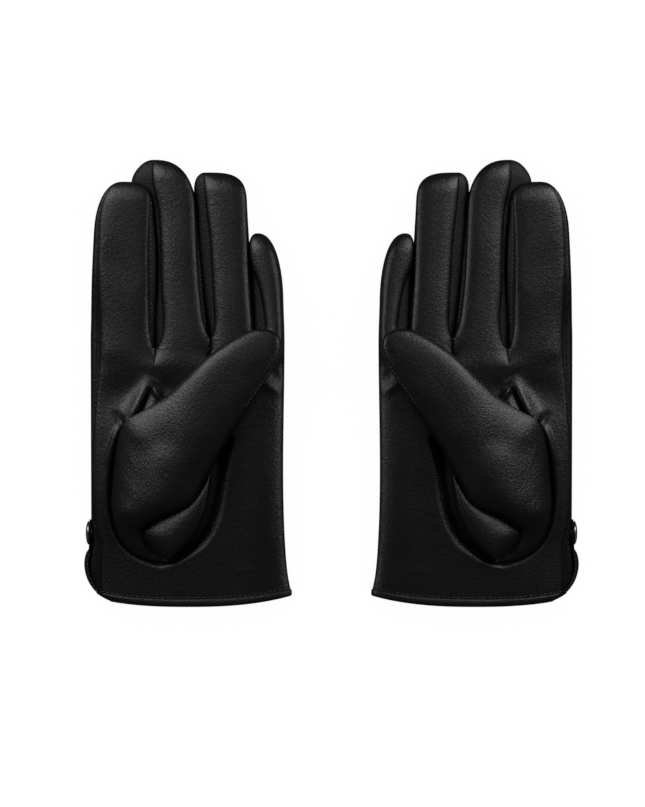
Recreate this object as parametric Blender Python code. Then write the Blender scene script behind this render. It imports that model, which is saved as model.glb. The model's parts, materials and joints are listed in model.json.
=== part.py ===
"""Pair of sewn leather gloves lying palm side up, fingers towards +Y, thumb laid over the palm.

Every leather piece is its own thin solid: a palm and a back panel that carry short finger stubs,
a strip down the forefinger side, four finger stalls, a set-in thumb, fork gussets, a bound hem and
a side tab closed with a press snap. The left-hand glove is built about its own middle line and the
right-hand one is its mirror image. Sizes are in millimetres until the mesh is made.
"""

from dataclasses import dataclass

import bpy
import numpy as np

MM = 0.001

# Overall sizes
PAIR_PITCH = 152.0  # middle line to middle line of the two gloves
PALM_WIDTH = 101.6  # across the knuckles, lying flat
CUFF_FLARE = 2.4  # how far the little-finger side opens out at the hem
HEM_Y = -118.0  # lowest point of the hem
HEM_RISE = 5.0  # how far the hem's ends curve up
HEM_BAND = 1.5  # depth of the bound edge
LINING = 0.7
LINING_DEPTH = 18.0  # how far the lining of the wrist reaches in
PALM_THICK = 16.0  # of the hand part, at mid palm
CUFF_THICK = 12.6  # of the hand part, at the hem
WALL = 1.2  # leather with its lining
SEAM_GAP = 0.3  # clearance left at every seam
SIDE_ANGLE = np.radians(30.0)  # half of the arc that a side strip or a fork strip takes up
FLATTEN = 1.07  # the lower side is pressed flat on what it lies on by this share
ROUND = 2.3  # exponent of the rounded sections of the stalls
PALM_ROUND = 2.7  # exponent of the rounded section of the hand
BLEND_Y = (-14.0, 16.0)  # the hand's one section turns into four between these

# The thumb
THUMB_JOINT = np.array([6.9, -17.0])  # middle of the seam line it bends at
THUMB_DIR = np.array([0.6, 0.8])
THUMB_LENGTH = 57.5
THUMB_WIDTH = 38.6  # at the bend
THUMB_THICK = 12.6
THUMB_CLEARANCE = 1.0  # between the thumb and the palm that it lies on
THUMB_REST_Z = PALM_THICK + THUMB_CLEARANCE  # underside of the thumb at the bend
KNUCKLE_SEAT = 14.0  # thickness of the knuckles that the tip of the thumb rests over
THUMB_DROP = PALM_THICK - KNUCKLE_SEAT  # how much lower its tip rests than the bend
HOLE_MID = np.array([-12.2, -53.2])  # oval hole of the set-in thumb
HOLE_HALF = np.array([27.4, 41.5])

# The side tab and its press snap
SNAP_Y = -79.5
SNAP_Z = CUFF_THICK / 2 + 0.1  # level with the middle of the side
SNAP_RADIUS = 5.6
TAB_WIDTH = 11.4
TAB_THICK = 0.9
TAB_HINGE_Y = HEM_Y + 7.0


@dataclass(frozen=True)
class Stall:
    """One finger: its two sides at the knuckle and near the tip, where it bends, and how it ends."""

    name: str
    base: tuple  # x of the two sides at the knuckle
    tip: tuple  # x of the two sides where the rounding of the tip starts
    bend_y: float
    round_y: float
    tip_y: float
    half_thick: tuple  # at the bend and at the tip
    left: str  # what closes the left side: a "side" or "fork" strip
    right: str  # the same for the right, or "fold" where the leather goes round in one piece


STALLS = (
    Stall("index", (-PALM_WIDTH / 2 - 0.2, -17.2), (-47.0, -18.8), 22.4, 91.0, 105.7,
          (7.2, 6.0), "side", "fork"),
    Stall("middle", (-16.0, 8.2), (-17.6, 3.6), 24.6, 97.0, 117.6, (7.3, 6.0), "fork", "fork"),
    Stall("ring", (9.4, 34.8), (4.9, 30.4), 32.2, 95.0, 111.0, (7.0, 5.8), "fork", "fork"),
    Stall("little", (36.0, PALM_WIDTH / 2), (33.2, 48.6), 34.2, 60.0, 78.0, (6.4, 5.4), "fork", "fold"),
)
FORK_Y = (17.8, 20.8, 17.8)  # bottom of the slots between them
KNUCKLE_Y = 20.0

LEATHER = ((0.012, 0.012, 0.013), 0.0, 0.42)
STRIP = ((0.010, 0.010, 0.011), 0.0, 0.45)
BINDING = ((0.008, 0.008, 0.009), 0.0, 0.5)
FLEECE = ((0.020, 0.020, 0.021), 0.0, 0.95)
NICKEL = ((0.55, 0.55, 0.56), 1.0, 0.28)


def smooth(low, high, value):
    """0 below low, 1 above high and a smooth rise between."""
    u = np.clip((np.asarray(value, float) - low) / (high - low), 0.0, 1.0)
    return u * u * (3.0 - 2.0 * u)


def arc(angle, power):
    """Cosine and sine of a rounded-off section, where power 2 is an ellipse."""
    c, s = np.cos(angle), np.sin(angle)
    return np.sign(c) * np.abs(c) ** (2 / power), np.sign(s) * np.abs(s) ** (2 / power)


# ---------------------------------------------------------------- meshes
def add_object(name, points, faces, finish, place):
    """One closed mesh object: points that coincide are joined and the faces turned outwards."""
    points = place(np.asarray(points, float).reshape(-1, 3)) * MM
    _, first, index = np.unique(
        np.round(points / 1e-8).astype(np.int64), axis=0, return_index=True, return_inverse=True
    )
    index = index.reshape(-1)
    whole = []
    for face in faces:
        ring = [index[i] for i in face]
        ring = [v for k, v in enumerate(ring) if v != ring[k - 1]]
        if len(set(ring)) > 2:
            whole.append([int(v) for v in ring])
    points = points[first]
    volume = 0.0
    for ring in whole:
        for k in range(1, len(ring) - 1):
            volume += np.dot(points[ring[0]], np.cross(points[ring[k]], points[ring[k + 1]]))
    if volume < 0:
        whole = [ring[::-1] for ring in whole]
    mesh = bpy.data.meshes.new(name)
    mesh.from_pydata(points.tolist(), [], whole)
    mesh.update()
    obj = bpy.data.objects.new(name, mesh)
    bpy.context.scene.collection.objects.link(obj)
    colour, metallic, roughness = finish
    material = bpy.data.materials.new(name)
    material.use_nodes = True
    shader = material.node_tree.nodes["Principled BSDF"]
    shader.inputs["Base Color"].default_value = (*colour, 1.0)
    shader.inputs["Metallic"].default_value = metallic
    shader.inputs["Roughness"].default_value = roughness
    mesh.materials.append(material)
    return obj


def sheet_solid(name, outer, inner, finish, place, present=None, wrap=False):
    """A sheet with thickness, from a grid of outer points and one of inner points.

    present marks the cells that exist, and wrap joins the last column to the first.
    """
    rows, cols = outer.shape[:2]
    cells = cols if wrap else cols - 1
    if present is None:
        present = np.ones((rows - 1, cells), bool)
    faces, count = [], rows * cols
    for r in range(rows - 1):
        for c in range(cells):
            if not present[r, c]:
                continue
            nxt = (c + 1) % cols
            ring = [r * cols + c, r * cols + nxt, (r + 1) * cols + nxt, (r + 1) * cols + c]
            faces.append(ring)
            faces.append([count + i for i in ring[::-1]])
            beside = ((r - 1, c), (r, c + 1), (r + 1, c), (r, c - 1))
            for k, (rr, cc) in enumerate(beside):
                cc = cc % cells if wrap else cc
                if 0 <= rr < rows - 1 and 0 <= cc < cells and present[rr, cc]:
                    continue
                p, q = ring[k], ring[(k + 1) % 4]
                faces.append([q, p, count + p, count + q])
    points = np.concatenate([outer.reshape(-1, 3), inner.reshape(-1, 3)])
    return add_object(name, points, faces, finish, place)


def turned_solid(name, profile, middle, finish, place, steps=20):
    """A solid turned about a line along X, from (radius, x) pairs that start and end on the line,
    or that go round in a ring when neither end is on it."""
    profile = np.asarray(profile, float)
    angle = np.linspace(0, 2 * np.pi, steps, endpoint=False)
    grid = np.empty((len(profile), steps, 3))
    grid[..., 0] = middle[0] + profile[:, 1, None]
    grid[..., 1] = middle[1] + profile[:, 0, None] * np.cos(angle)
    grid[..., 2] = middle[2] + profile[:, 0, None] * np.sin(angle)
    ringed = profile[0, 0] > 0
    rows = len(profile)
    faces = []
    for r in range(rows if ringed else rows - 1):
        for c in range(steps):
            a, b = r * steps, ((r + 1) % rows) * steps
            faces.append([a + c, a + (c + 1) % steps, b + (c + 1) % steps, b + c])
    return add_object(name, grid.reshape(-1, 3), faces, finish, place)


# ---------------------------------------------------------------- the hand part
def hand_sides(y):
    """x of the two sides of the hand, which rounds in and flares out at the hem."""
    left = -PALM_WIDTH / 2 - 0.2 + 2.5 * smooth(-108.0, -118.0, y)
    right = PALM_WIDTH / 2 + CUFF_FLARE * smooth(-82.0, -114.0, y)
    return left, right


def hand_half_thick(y):
    """Half the thickness of the hand part at y, thin at the hem and fullest at mid palm."""
    return np.interp(y, (-118, -95, -60, -20, 20), np.array(
        [CUFF_THICK, CUFF_THICK + 0.6, PALM_THICK - 1.0, PALM_THICK, PALM_THICK - 0.6]) / 2)


def stall_sides(stall, y):
    """x of the two sides of a finger, carried straight down into the palm below the knuckle."""
    t = np.clip((y - KNUCKLE_Y) / (stall.round_y - KNUCKLE_Y), 0.0, 1.0)
    left = stall.base[0] + (stall.tip[0] - stall.base[0]) * t
    right = stall.base[1] + (stall.tip[1] - stall.base[1]) * t
    if y < KNUCKLE_Y and stall.left == "side":
        left = hand_sides(y)[0]
    if y < KNUCKLE_Y and stall.right == "fold":
        right = hand_sides(y)[1]
    return left, right


def stall_half_thick(stall, y):
    t = np.clip((y - stall.bend_y) / (stall.tip_y - stall.bend_y), 0.0, 1.0)
    return stall.half_thick[0] + (stall.half_thick[1] - stall.half_thick[0]) * t


def hem_lift(x, y):
    """How far the curved hem moves a point up, fading out above it."""
    return HEM_RISE * (np.abs(x) / 52.0) ** 2.5 * (1.0 - smooth(HEM_Y, HEM_Y + 34.0, y))


def hand_point(stall, angle, y, depth):
    """(x, half height, mid height) on the hand's surface, depth inside it, where a finger's arc is."""
    low, high = hand_sides(y)
    mid, half = (low + high) / 2, (high - low) / 2
    b = hand_half_thick(y)
    left, right = stall_sides(stall, y)
    fmid, fhalf = (left + right) / 2, (right - left) / 2
    fb = stall_half_thick(stall, y)
    c, s = arc(angle, ROUND)
    across = np.clip((fmid + fhalf * c - mid) / half, -1.0, 1.0)
    rise = (1.0 - np.abs(across) ** PALM_ROUND) ** (1 / PALM_ROUND)
    w = float(smooth(*BLEND_Y, y))
    x = (1 - w) * (mid + (half - depth) * across) + w * (fmid + (fhalf - depth) * c)
    h = (1 - w) * (b - depth) * rise + w * (fb - depth) * s
    return x, h, (1 - w) * b + w * fb


def palm_top(x, y):
    """Height of the palm's outer face below the fingers."""
    low, high = hand_sides(y)
    across = np.clip((x - (low + high) / 2) / ((high - low) / 2), -1.0, 1.0)
    b = hand_half_thick(y)
    return b + b * (1.0 - np.abs(across) ** PALM_ROUND) ** (1 / PALM_ROUND)


HAND_ROWS = (HEM_Y + HEM_BAND + SEAM_GAP, -108.0, -96.0, -80.0, -60.0, -38.0, -18.0, -4.0, 8.0)


def hand_stations(stall):
    """y of each row of a panel in this finger's columns, ending at the line where it bends."""
    upper = {"index": (17.8, 20.2), "middle": (17.8, 20.8), "ring": (17.8, 20.8), "little": (17.8, 25.0)}
    return (*HAND_ROWS, *upper[stall.name], stall.bend_y)


def panel_angles(stall, steps=4):
    start = np.pi - SIDE_ANGLE
    end = SIDE_ANGLE if stall.right != "fold" else 0.0
    return np.linspace(start, end, steps + 1 if stall.right != "fold" else steps + 2)


def hand_panel(name, lower, finish, place):
    """The palm panel, or with lower the back panel: four columns of leather joined below the forks."""
    columns_out, columns_in, groups = [], [], []
    for number, stall in enumerate(STALLS):
        for angle in panel_angles(stall):
            column_out, column_in = [], []
            for y in hand_stations(stall):
                for depth, column in ((0.0, column_out), (WALL, column_in)):
                    x, h, mid = hand_point(stall, angle, y, depth)
                    if lower:
                        z = max(mid - SEAM_GAP / 2 - FLATTEN * h, depth)
                    else:
                        z = mid + SEAM_GAP / 2 + h
                    column.append((x, y + hem_lift(x, y), z))
            columns_out.append(column_out)
            columns_in.append(column_in)
            groups.append(number)
    outer = np.array(columns_out).transpose(1, 0, 2)
    inner = np.array(columns_in).transpose(1, 0, 2)
    present = np.ones((outer.shape[0] - 1, outer.shape[1] - 1), bool)
    first_slot_row = {0: len(HAND_ROWS), 1: len(HAND_ROWS) + 1, 2: len(HAND_ROWS)}
    for c in range(len(groups) - 1):
        if groups[c] != groups[c + 1]:
            present[first_slot_row[groups[c]]:, c] = False
    return sheet_solid(name, outer, inner, finish, place, present)


def side_panel(finish, place):
    """The strip down the forefinger side of the hand, between the palm and back panels."""
    stall = STALLS[0]
    outer, inner = [], []
    for y in hand_stations(stall):
        row_out, row_in = [], []
        _, edge, mid = hand_point(stall, np.pi - SIDE_ANGLE, y, 0.0)
        low, high = hand_sides(y)
        w = float(smooth(*BLEND_Y, y))
        b = (1 - w) * hand_half_thick(y) + w * stall_half_thick(stall, y)
        half = (1 - w) * (high - low) / 2 + w * (stall.base[1] - low) / 2
        power = (1 - w) * PALM_ROUND + w * ROUND
        for level in np.linspace(edge - SEAM_GAP, -(edge - SEAM_GAP), 4):
            for depth, row in ((0.0, row_out), (WALL, row_in)):
                level_in = level * (1 - depth / b)
                x = low + half - (half - depth) * (1 - abs(level / b) ** power) ** (1 / power)
                row.append((x, y + hem_lift(x, y), mid + level_in))
        outer.append(row_out)
        inner.append(row_in)
    return sheet_solid("side_panel", np.array(outer), np.array(inner), finish, place)


def fork_gusset(number, finish, place):
    """The U-shaped wall that closes a slot between two fingers, down to its bottom."""
    one, other = STALLS[number], STALLS[number + 1]
    path, heights = [], []

    def add(stall, angle, y, shift):
        x, h, mid = hand_point(stall, angle, y, WALL)
        path.append((hand_point(stall, angle, y, 0.0)[0] + shift, y))
        heights.append((mid, h - SEAM_GAP))

    bottom = FORK_Y[number]
    rows_one = [y for y in hand_stations(one)[len(HAND_ROWS):] if y > bottom + 0.5]
    rows_other = [y for y in hand_stations(other)[len(HAND_ROWS):] if y > bottom + 0.5]
    for y in rows_one[::-1]:
        add(one, SIDE_ANGLE, y, 0.0)
    add(one, SIDE_ANGLE, bottom, 0.0)
    add(other, np.pi - SIDE_ANGLE, bottom, 0.0)
    for y in rows_other:
        add(other, np.pi - SIDE_ANGLE, y, 0.0)
    path = np.array(path)
    along = np.gradient(path, axis=0)
    along /= np.linalg.norm(along, axis=1)[:, None]
    away = np.stack([-along[:, 1], along[:, 0]], axis=1)
    corner = len(rows_one)
    for k in (corner, corner + 1):  # square corners at the bottom of the slot
        away[k] = (-1.0 if k == corner else 1.0, -1.0)
    for k in range(len(path)):
        if k not in (corner, corner + 1):
            away[k] = (-1.0 if k < corner else 1.0, 0.0)
    outer, inner = [], []
    for (x, y), (dx, dy), (mid, h) in zip(path, away, heights):
        outer.append([(x, y, mid + h), (x, y, mid), (x, y, mid - h)])
        xi, yi = x + dx * WALL, y + dy * WALL
        inner.append([(xi, yi, mid + h), (xi, yi, mid), (xi, yi, mid - h)])
    name = f"{one.name}_{other.name}_gusset"
    return sheet_solid(name, np.array(outer), np.array(inner), finish, place)


def hem_binding(finish, place, steps=36):
    """The bound edge round the wrist opening."""
    angle = np.linspace(0, 2 * np.pi, steps, endpoint=False)
    c, s = arc(angle, PALM_ROUND)
    rows = {}
    for key, grow in (("outer", 0.5), ("inner", -1.6)):
        rows[key] = []
        for y in (HEM_Y, HEM_Y + HEM_BAND):
            low, high = hand_sides(y)
            half, b = (high - low) / 2 + grow, hand_half_thick(y) + grow
            x = (low + high) / 2 + half * c
            mid = hand_half_thick(y)
            z = np.where(s > 0, mid + b * s, np.maximum(mid + FLATTEN * b * s, 0.0 if grow > 0 else 1.6))
            rows[key].append(np.stack([x, y + hem_lift(x, y), z], axis=1))
    return sheet_solid("hem_binding", np.array(rows["outer"]), np.array(rows["inner"]), finish, place,
                       wrap=True)


def wrist_lining(finish, place, steps=36):
    """The band of lining inside the wrist opening."""
    angle = np.linspace(0, 2 * np.pi, steps, endpoint=False)
    c, s = arc(angle, PALM_ROUND)
    depth = WALL + 2 * SEAM_GAP
    rows = {"outer": [], "inner": []}
    for y in (HEM_Y + HEM_BAND + SEAM_GAP, HEM_Y + LINING_DEPTH / 2, HEM_Y + LINING_DEPTH):
        low, high = hand_sides(y)
        mid = hand_half_thick(y)
        for key, inset in (("outer", depth), ("inner", depth + LINING)):
            x = (low + high) / 2 + ((high - low) / 2 - inset) * c
            z = mid + (mid - inset) * s
            z = np.where(s > 0, z, np.maximum(z, inset))
            rows[key].append(np.stack([x, y + hem_lift(x, y), z], axis=1))
    return sheet_solid("wrist_lining", np.array(rows["outer"]), np.array(rows["inner"]), finish, place,
                       wrap=True)


# ---------------------------------------------------------------- stalls
def stall_stations(stall, tip=True):
    """(y, how far through the rounding of the tip) for each row of a finger stall."""
    start = stall.bend_y + SEAM_GAP
    straight = np.linspace(start, stall.round_y, 4)
    turn = np.array([0.4, 0.68, 0.87, 0.97, 1.0]) if tip else np.array([0.4, 0.68])
    ys = np.concatenate([straight, stall.round_y + turn * (stall.tip_y - stall.round_y)])
    return ys, np.concatenate([np.zeros(4), turn])


def stall_grid(sections, angles, lift, lower):
    """Outer and inner grids of one sector of a closed stall.

    sections holds (y, round-off, middle x, half width, half thickness, middle z, tip length), and
    angles the arc of each row.
    """
    outer, inner = [], []
    for (y, u, mid, half, b, z0, tip), row in zip(sections, angles):
        shrink_w = (1 - u**2.5) ** (1 / 2.5)
        shrink_h = (1 - u**2.1) ** (1 / 2.1)
        c, s = arc(row, ROUND)
        for depth, grid in ((0.0, outer), (WALL, inner)):
            x = mid + (half - depth) * shrink_w * c
            h = (b - depth) * shrink_h * s
            z = z0 + lift + h
            if lower:
                z = np.maximum(z0 + lift + FLATTEN * h, depth)
            yy = np.full_like(x, y - depth * u)
            grid.append(np.stack([x, yy, z], axis=1))
    return np.array(outer), np.array(inner)


def sections_of(stall, tip=True):
    ys, turn = stall_stations(stall, tip)
    found = []
    for y, u in zip(ys, turn):
        left, right = stall_sides(stall, y)
        b = stall_half_thick(stall, y)
        found.append((y, u, (left + right) / 2, (right - left) / 2, b, b, stall.tip_y - stall.round_y))
    return found


def strip_angle(u):
    """Half the arc of a fork or side strip, which runs out to a point before the fingertip."""
    return SIDE_ANGLE * max(0.0, 1.0 - (u / 0.93) ** 2)


def finger(stall, leather, strip, place):
    """The pieces of one finger beyond the line where it bends."""
    sections = sections_of(stall)
    made = []
    for lower, word in ((False, "palm"), (True, "back")):
        rows = []
        for section in sections:
            side = strip_angle(section[1])
            right = 0.0 if stall.right == "fold" else side
            arc_row = np.linspace(np.pi - side, right, 7)
            rows.append(-arc_row if lower else arc_row)
        lift = -SEAM_GAP / 2 if lower else SEAM_GAP / 2
        outer, inner = stall_grid(sections, rows, lift, lower)
        made.append(sheet_solid(f"{stall.name}_{word}", outer, inner, leather, place))
    short = sections_of(stall, tip=False)
    for side, kind in (("left", stall.left), ("right", stall.right)):
        if kind == "fold":
            continue
        rows = []
        for section in short:
            reach = strip_angle(section[1]) - 0.28 / section[4]
            row = np.linspace(reach, -reach, 3)
            rows.append(np.pi - row if side == "left" else row)
        outer, inner = stall_grid(short, rows, 0.0, False)
        name = f"{stall.name}_side" if kind == "side" else f"{stall.name}_fork_{side}"
        made.append(sheet_solid(name, outer, inner, strip, place))
    return made


# ---------------------------------------------------------------- the thumb
def thumb_place(points):
    """From the thumb's own frame (across, along, up) to the glove's."""
    across = np.array([THUMB_DIR[1], -THUMB_DIR[0]])
    flat = THUMB_JOINT + points[..., :1] * across + points[..., 1:2] * THUMB_DIR
    return np.concatenate([flat, points[..., 2:]], axis=-1)


def thumb_section(s):
    """(middle, half width) across the thumb, s along it from the bend."""
    share = s / THUMB_LENGTH
    half = THUMB_WIDTH / 2 * (1.0 - 0.30 * share - 0.10 * share**2)
    mid = 6.0 * share**1.6
    return mid, half


def thumb(leather, place):
    """The part of the thumb that lifts off the palm: a front and a back half."""
    round_from = 40.0
    turn = np.array([0.45, 0.72, 0.9, 0.98, 1.0])
    ss = np.concatenate([np.linspace(SEAM_GAP, round_from, 4), round_from + turn * (THUMB_LENGTH - round_from)])
    us = np.concatenate([np.zeros(4), turn])
    sections = []
    for s, u in zip(ss, us):
        mid, half = thumb_section(s)
        share = s / THUMB_LENGTH
        b = THUMB_THICK / 2 * (1.0 - 0.14 * share)
        z0 = THUMB_REST_Z + THUMB_THICK / 2 - (THUMB_DROP + 0.5) * share
        sections.append((s, u, mid, half, b, z0, THUMB_LENGTH - round_from))
    for lower, name in ((False, "thumb_front"), (True, "thumb_back")):
        row = np.linspace(np.pi, 0.0, 8)
        rows = [-row if lower else row] * len(sections)
        lift = -SEAM_GAP / 2 if lower else SEAM_GAP / 2
        outer, inner = stall_grid(sections, rows, lift, False)
        sheet_solid(name, thumb_place(outer), thumb_place(inner), leather, place)


def thumb_base(leather, place, steps=24, rows=6):
    """The set-in piece that rises from the oval hole in the palm and turns towards the thumb."""
    across = np.array([THUMB_DIR[1], -THUMB_DIR[0]])
    angle = np.linspace(0, 2 * np.pi, steps, endpoint=False)
    c, s = arc(angle, ROUND)
    grids = []
    for grow, depth in ((1.9, 0.0), (0.5, WALL)):
        way = np.cos(angle)[:, None] * across - np.sin(angle)[:, None] * THUMB_DIR
        reach = 1.0 / np.sqrt(((way / (HOLE_HALF + grow)) ** 2).sum(axis=1))
        flat = HOLE_MID + way * reach[:, None]
        start = np.concatenate([flat, [[palm_top(x, y) + 0.5] for x, y in flat]], axis=1)
        mid, half = thumb_section(0.0)
        own = np.stack([mid + (half - depth) * c, np.zeros(steps),
                        THUMB_REST_Z + THUMB_THICK / 2 + (THUMB_THICK / 2 - depth) * s], axis=1)
        end = thumb_place(own)
        span = np.linalg.norm(end - start, axis=1)[:, None]
        up = np.array([0.0, 0.0, 0.42]) * span
        on = np.array([*THUMB_DIR, 0.0]) * 0.75 * span
        grid = []
        for v in np.linspace(0.0, 1.0, rows):
            grid.append((2 * v**3 - 3 * v**2 + 1) * start + (v**3 - 2 * v**2 + v) * up
                        + (3 * v**2 - 2 * v**3) * end + (v**3 - v**2) * on)
        grids.append(np.array(grid))
    return sheet_solid("thumb_base", grids[0], grids[1], leather, place, wrap=True)


def cut_thumb_hole(panel, place):
    """Cuts the oval hole of the set-in thumb right through the palm panel."""
    angle = np.linspace(0, 2 * np.pi, 28, endpoint=False)
    x = HOLE_MID[0] + HOLE_HALF[0] * np.cos(angle)
    y = HOLE_MID[1] + HOLE_HALF[1] * np.sin(angle)
    low = np.stack([x, y, np.full_like(x, 8.6)], axis=1)
    high = low + np.array([0.0, 0.0, 14.0])
    faces = [list(range(28)), list(range(28, 56))[::-1]]
    faces += [[i, i + 28, (i + 1) % 28 + 28, (i + 1) % 28] for i in range(28)]
    cutter = add_object("hole_cutter", np.concatenate([low, high]), faces, LEATHER, place)
    modifier = panel.modifiers.new("hole", "BOOLEAN")
    modifier.operation, modifier.solver, modifier.object = "DIFFERENCE", "EXACT", cutter
    cutter.hide_render = True
    cutter.hide_viewport = True


# ---------------------------------------------------------------- the side tab
def side_tab(strip, metal, place):
    """The tab that closes the wrist at the side, and its press snap."""
    wall_x = hand_sides(SNAP_Y)[0]
    stud = [(0, -0.3), (3.4, -0.3), (3.4, -0.6), (1.4, -0.6), (1.4, -1.25), (0, -1.25)]
    socket = [(1.8, -0.9), (3.7, -0.9), (3.7, -1.4), (1.8, -1.4)]
    cap = [(0, -2.9), (SNAP_RADIUS, -2.9), (SNAP_RADIUS, -3.3), (SNAP_RADIUS * 0.8, -3.8), (0, -3.95)]
    middle = (wall_x, SNAP_Y, SNAP_Z)
    turned_solid("snap_stud", stud, middle, metal, place)
    turned_solid("snap_socket", socket, middle, metal, place)
    turned_solid("snap_cap", cap, middle, metal, place)
    inner_x = wall_x - 1.7
    path = np.array([
        (inner_x + 1.0, TAB_HINGE_Y), (inner_x - 0.5, TAB_HINGE_Y + 5.0), (inner_x - 1.2, TAB_HINGE_Y + 11.0),
        (inner_x - 1.1, TAB_HINGE_Y + 17.0), (inner_x - 0.3, TAB_HINGE_Y + 22.0), (inner_x, TAB_HINGE_Y + 25.0),
        (inner_x, SNAP_Y + 5.0), (inner_x, SNAP_Y + 7.6),
    ])
    widths = np.array([0.72, 0.86, 0.96, 1.0, 1.0, 1.0, 0.9, 0.62]) * TAB_WIDTH / 2
    levels = np.array([1.0, 0.0, -1.0])
    inner = np.array([[(x, y, SNAP_Z + w * k) for k in levels] for (x, y), w in zip(path, widths)])
    outer = inner - np.array([TAB_THICK, 0.0, 0.0])
    sheet_solid("side_tab", outer, inner, strip, place)


# ---------------------------------------------------------------- the pair
def build_glove(side):
    """One glove. side is left or right; the right-hand glove is the left-hand one mirrored."""
    sign = -1.0 if side == "left" else 1.0

    def place(points):
        moved = np.array(points, float)
        moved[..., 0] = sign * (PAIR_PITCH / 2 - moved[..., 0])
        return moved

    before = set(bpy.data.objects)
    palm = hand_panel("palm_panel", False, LEATHER, place)
    hand_panel("back_panel", True, LEATHER, place)
    side_panel(STRIP, place)
    for number in range(3):
        fork_gusset(number, STRIP, place)
    hem_binding(BINDING, place)
    wrist_lining(FLEECE, place)
    thumb_base(LEATHER, place)
    thumb(LEATHER, place)
    for stall in STALLS:
        finger(stall, LEATHER, STRIP, place)
    side_tab(STRIP, NICKEL, place)
    cut_thumb_hole(palm, place)
    for obj in set(bpy.data.objects) - before:
        obj.name = f"{side}_{obj.name}"
        obj.data.materials[0].name = obj.name


for existing in list(bpy.data.objects):
    bpy.data.objects.remove(existing, do_unlink=True)
for hand in ("left", "right"):
    build_glove(hand)
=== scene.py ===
"""The looks of a pair of sewn leather gloves lying palm side up, worked out as numpy surfaces.

Each glove is shaped in millimetres about its own middle line, with x towards the little finger, y
towards the fingertips and z up, and is then moved to its place in the pair. The right-hand glove is
the left-hand one mirrored.
"""

import json
import logging
from dataclasses import dataclass, field
from enum import Enum

import bpy
import numpy as np
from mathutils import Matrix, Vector

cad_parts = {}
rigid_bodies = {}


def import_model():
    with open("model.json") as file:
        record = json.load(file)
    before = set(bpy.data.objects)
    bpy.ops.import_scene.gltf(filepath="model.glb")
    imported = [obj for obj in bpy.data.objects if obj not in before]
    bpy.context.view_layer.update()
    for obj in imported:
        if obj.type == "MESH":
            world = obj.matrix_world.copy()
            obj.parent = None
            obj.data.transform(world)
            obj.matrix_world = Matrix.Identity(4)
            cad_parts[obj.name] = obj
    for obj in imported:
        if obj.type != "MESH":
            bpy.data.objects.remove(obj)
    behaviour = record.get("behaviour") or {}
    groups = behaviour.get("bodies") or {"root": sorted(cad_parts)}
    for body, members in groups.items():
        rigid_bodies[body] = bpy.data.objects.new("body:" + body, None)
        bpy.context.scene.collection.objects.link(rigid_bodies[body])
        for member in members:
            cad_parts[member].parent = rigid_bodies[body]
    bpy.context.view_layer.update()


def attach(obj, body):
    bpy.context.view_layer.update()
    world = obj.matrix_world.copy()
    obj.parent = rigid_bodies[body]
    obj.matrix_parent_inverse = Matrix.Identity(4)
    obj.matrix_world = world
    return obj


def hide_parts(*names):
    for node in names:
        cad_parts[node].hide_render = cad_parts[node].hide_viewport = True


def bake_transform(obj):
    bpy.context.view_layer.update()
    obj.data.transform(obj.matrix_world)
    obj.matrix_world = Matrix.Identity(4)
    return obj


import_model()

LOG = logging.getLogger("gloves")
MM = 0.001
PAIR_PITCH = 152.0  # between the middle lines of the two gloves
SAME_POINT = 1e-4  # points that are nearer than this are one
SEAM_PITCH = 2.4  # from stitch to stitch on the leather's seams
Array = np.ndarray
Node = bpy.types.Node
Material = bpy.types.Material


class Side(Enum):
    """Which of the two gloves, as they lie beside each other: the left one is the one at -X."""

    LEFT = "left"
    RIGHT = "right"

    @property
    def sign(self) -> float:
        """-1 for the glove at -X and 1 for its mirror image at +X."""
        return -1.0 if self is Side.LEFT else 1.0

    def place(self, points: Array) -> Array:
        """Moves glove points to their place in the pair.

        Args:
            points: points in glove millimetres.

        Returns:
            The points in metres in the shared frame.
        """
        moved = np.array(points, float)
        moved[..., 0] = self.sign * (PAIR_PITCH / 2 - moved[..., 0])
        return moved * MM


# ------------------------------------------------------------------ numbers and curves
def smooth(low: float, high: float, value: Array) -> Array:
    """0 below low, 1 above high, and a smooth rise 3u^2 - 2u^3 between.

    Args:
        low: where the rise starts.
        high: where it ends.
        value: the numbers to look up.

    Returns:
        The share from 0 to 1 for each value.
    """
    u = np.clip((np.asarray(value, float) - low) / (high - low), 0.0, 1.0)
    return u * u * (3.0 - 2.0 * u)


def through(keys: Array, values: Array, where: Array) -> Array:
    """Cubic curve through the values at the keys, whose slope at a key comes from its neighbours.

    Args:
        keys: rising numbers.
        values: one number or one point for each key.
        where: the numbers to read the curve at, held at its two ends.

    Returns:
        The curve's value at each place.
    """
    keys, values, where = (np.asarray(a, float) for a in (keys, values, where))
    slope = np.gradient(values, keys, axis=0)
    where = np.clip(where, keys[0], keys[-1])
    cell = np.clip(np.searchsorted(keys, where, side="right") - 1, 0, len(keys) - 2)
    width = np.diff(keys)[cell]
    u = (where - keys[cell]) / width
    if values.ndim > 1:
        u, width = u[..., None], width[..., None]
    return ((2 * u**3 - 3 * u**2 + 1) * values[cell] + (u**3 - 2 * u**2 + u) * width * slope[cell]
            + (3 * u**2 - 2 * u**3) * values[cell + 1] + (u**3 - u**2) * width * slope[cell + 1])


def running(line: Array) -> Array:
    """Running length at each point of a line, from 0 at its first."""
    return np.concatenate([[0.0], np.cumsum(np.linalg.norm(np.diff(line, axis=0), axis=1))])


def read_at(where: Array, run: Array, values: Array) -> Array:
    """Values between the points of a line, straight from point to point.

    Args:
        where: the running lengths to read at.
        run: the running length at each point.
        values: a row of values for each point.

    Returns:
        A row of values for each length.
    """
    return np.stack([np.interp(where, run, column) for column in values.T], axis=1)


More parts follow.
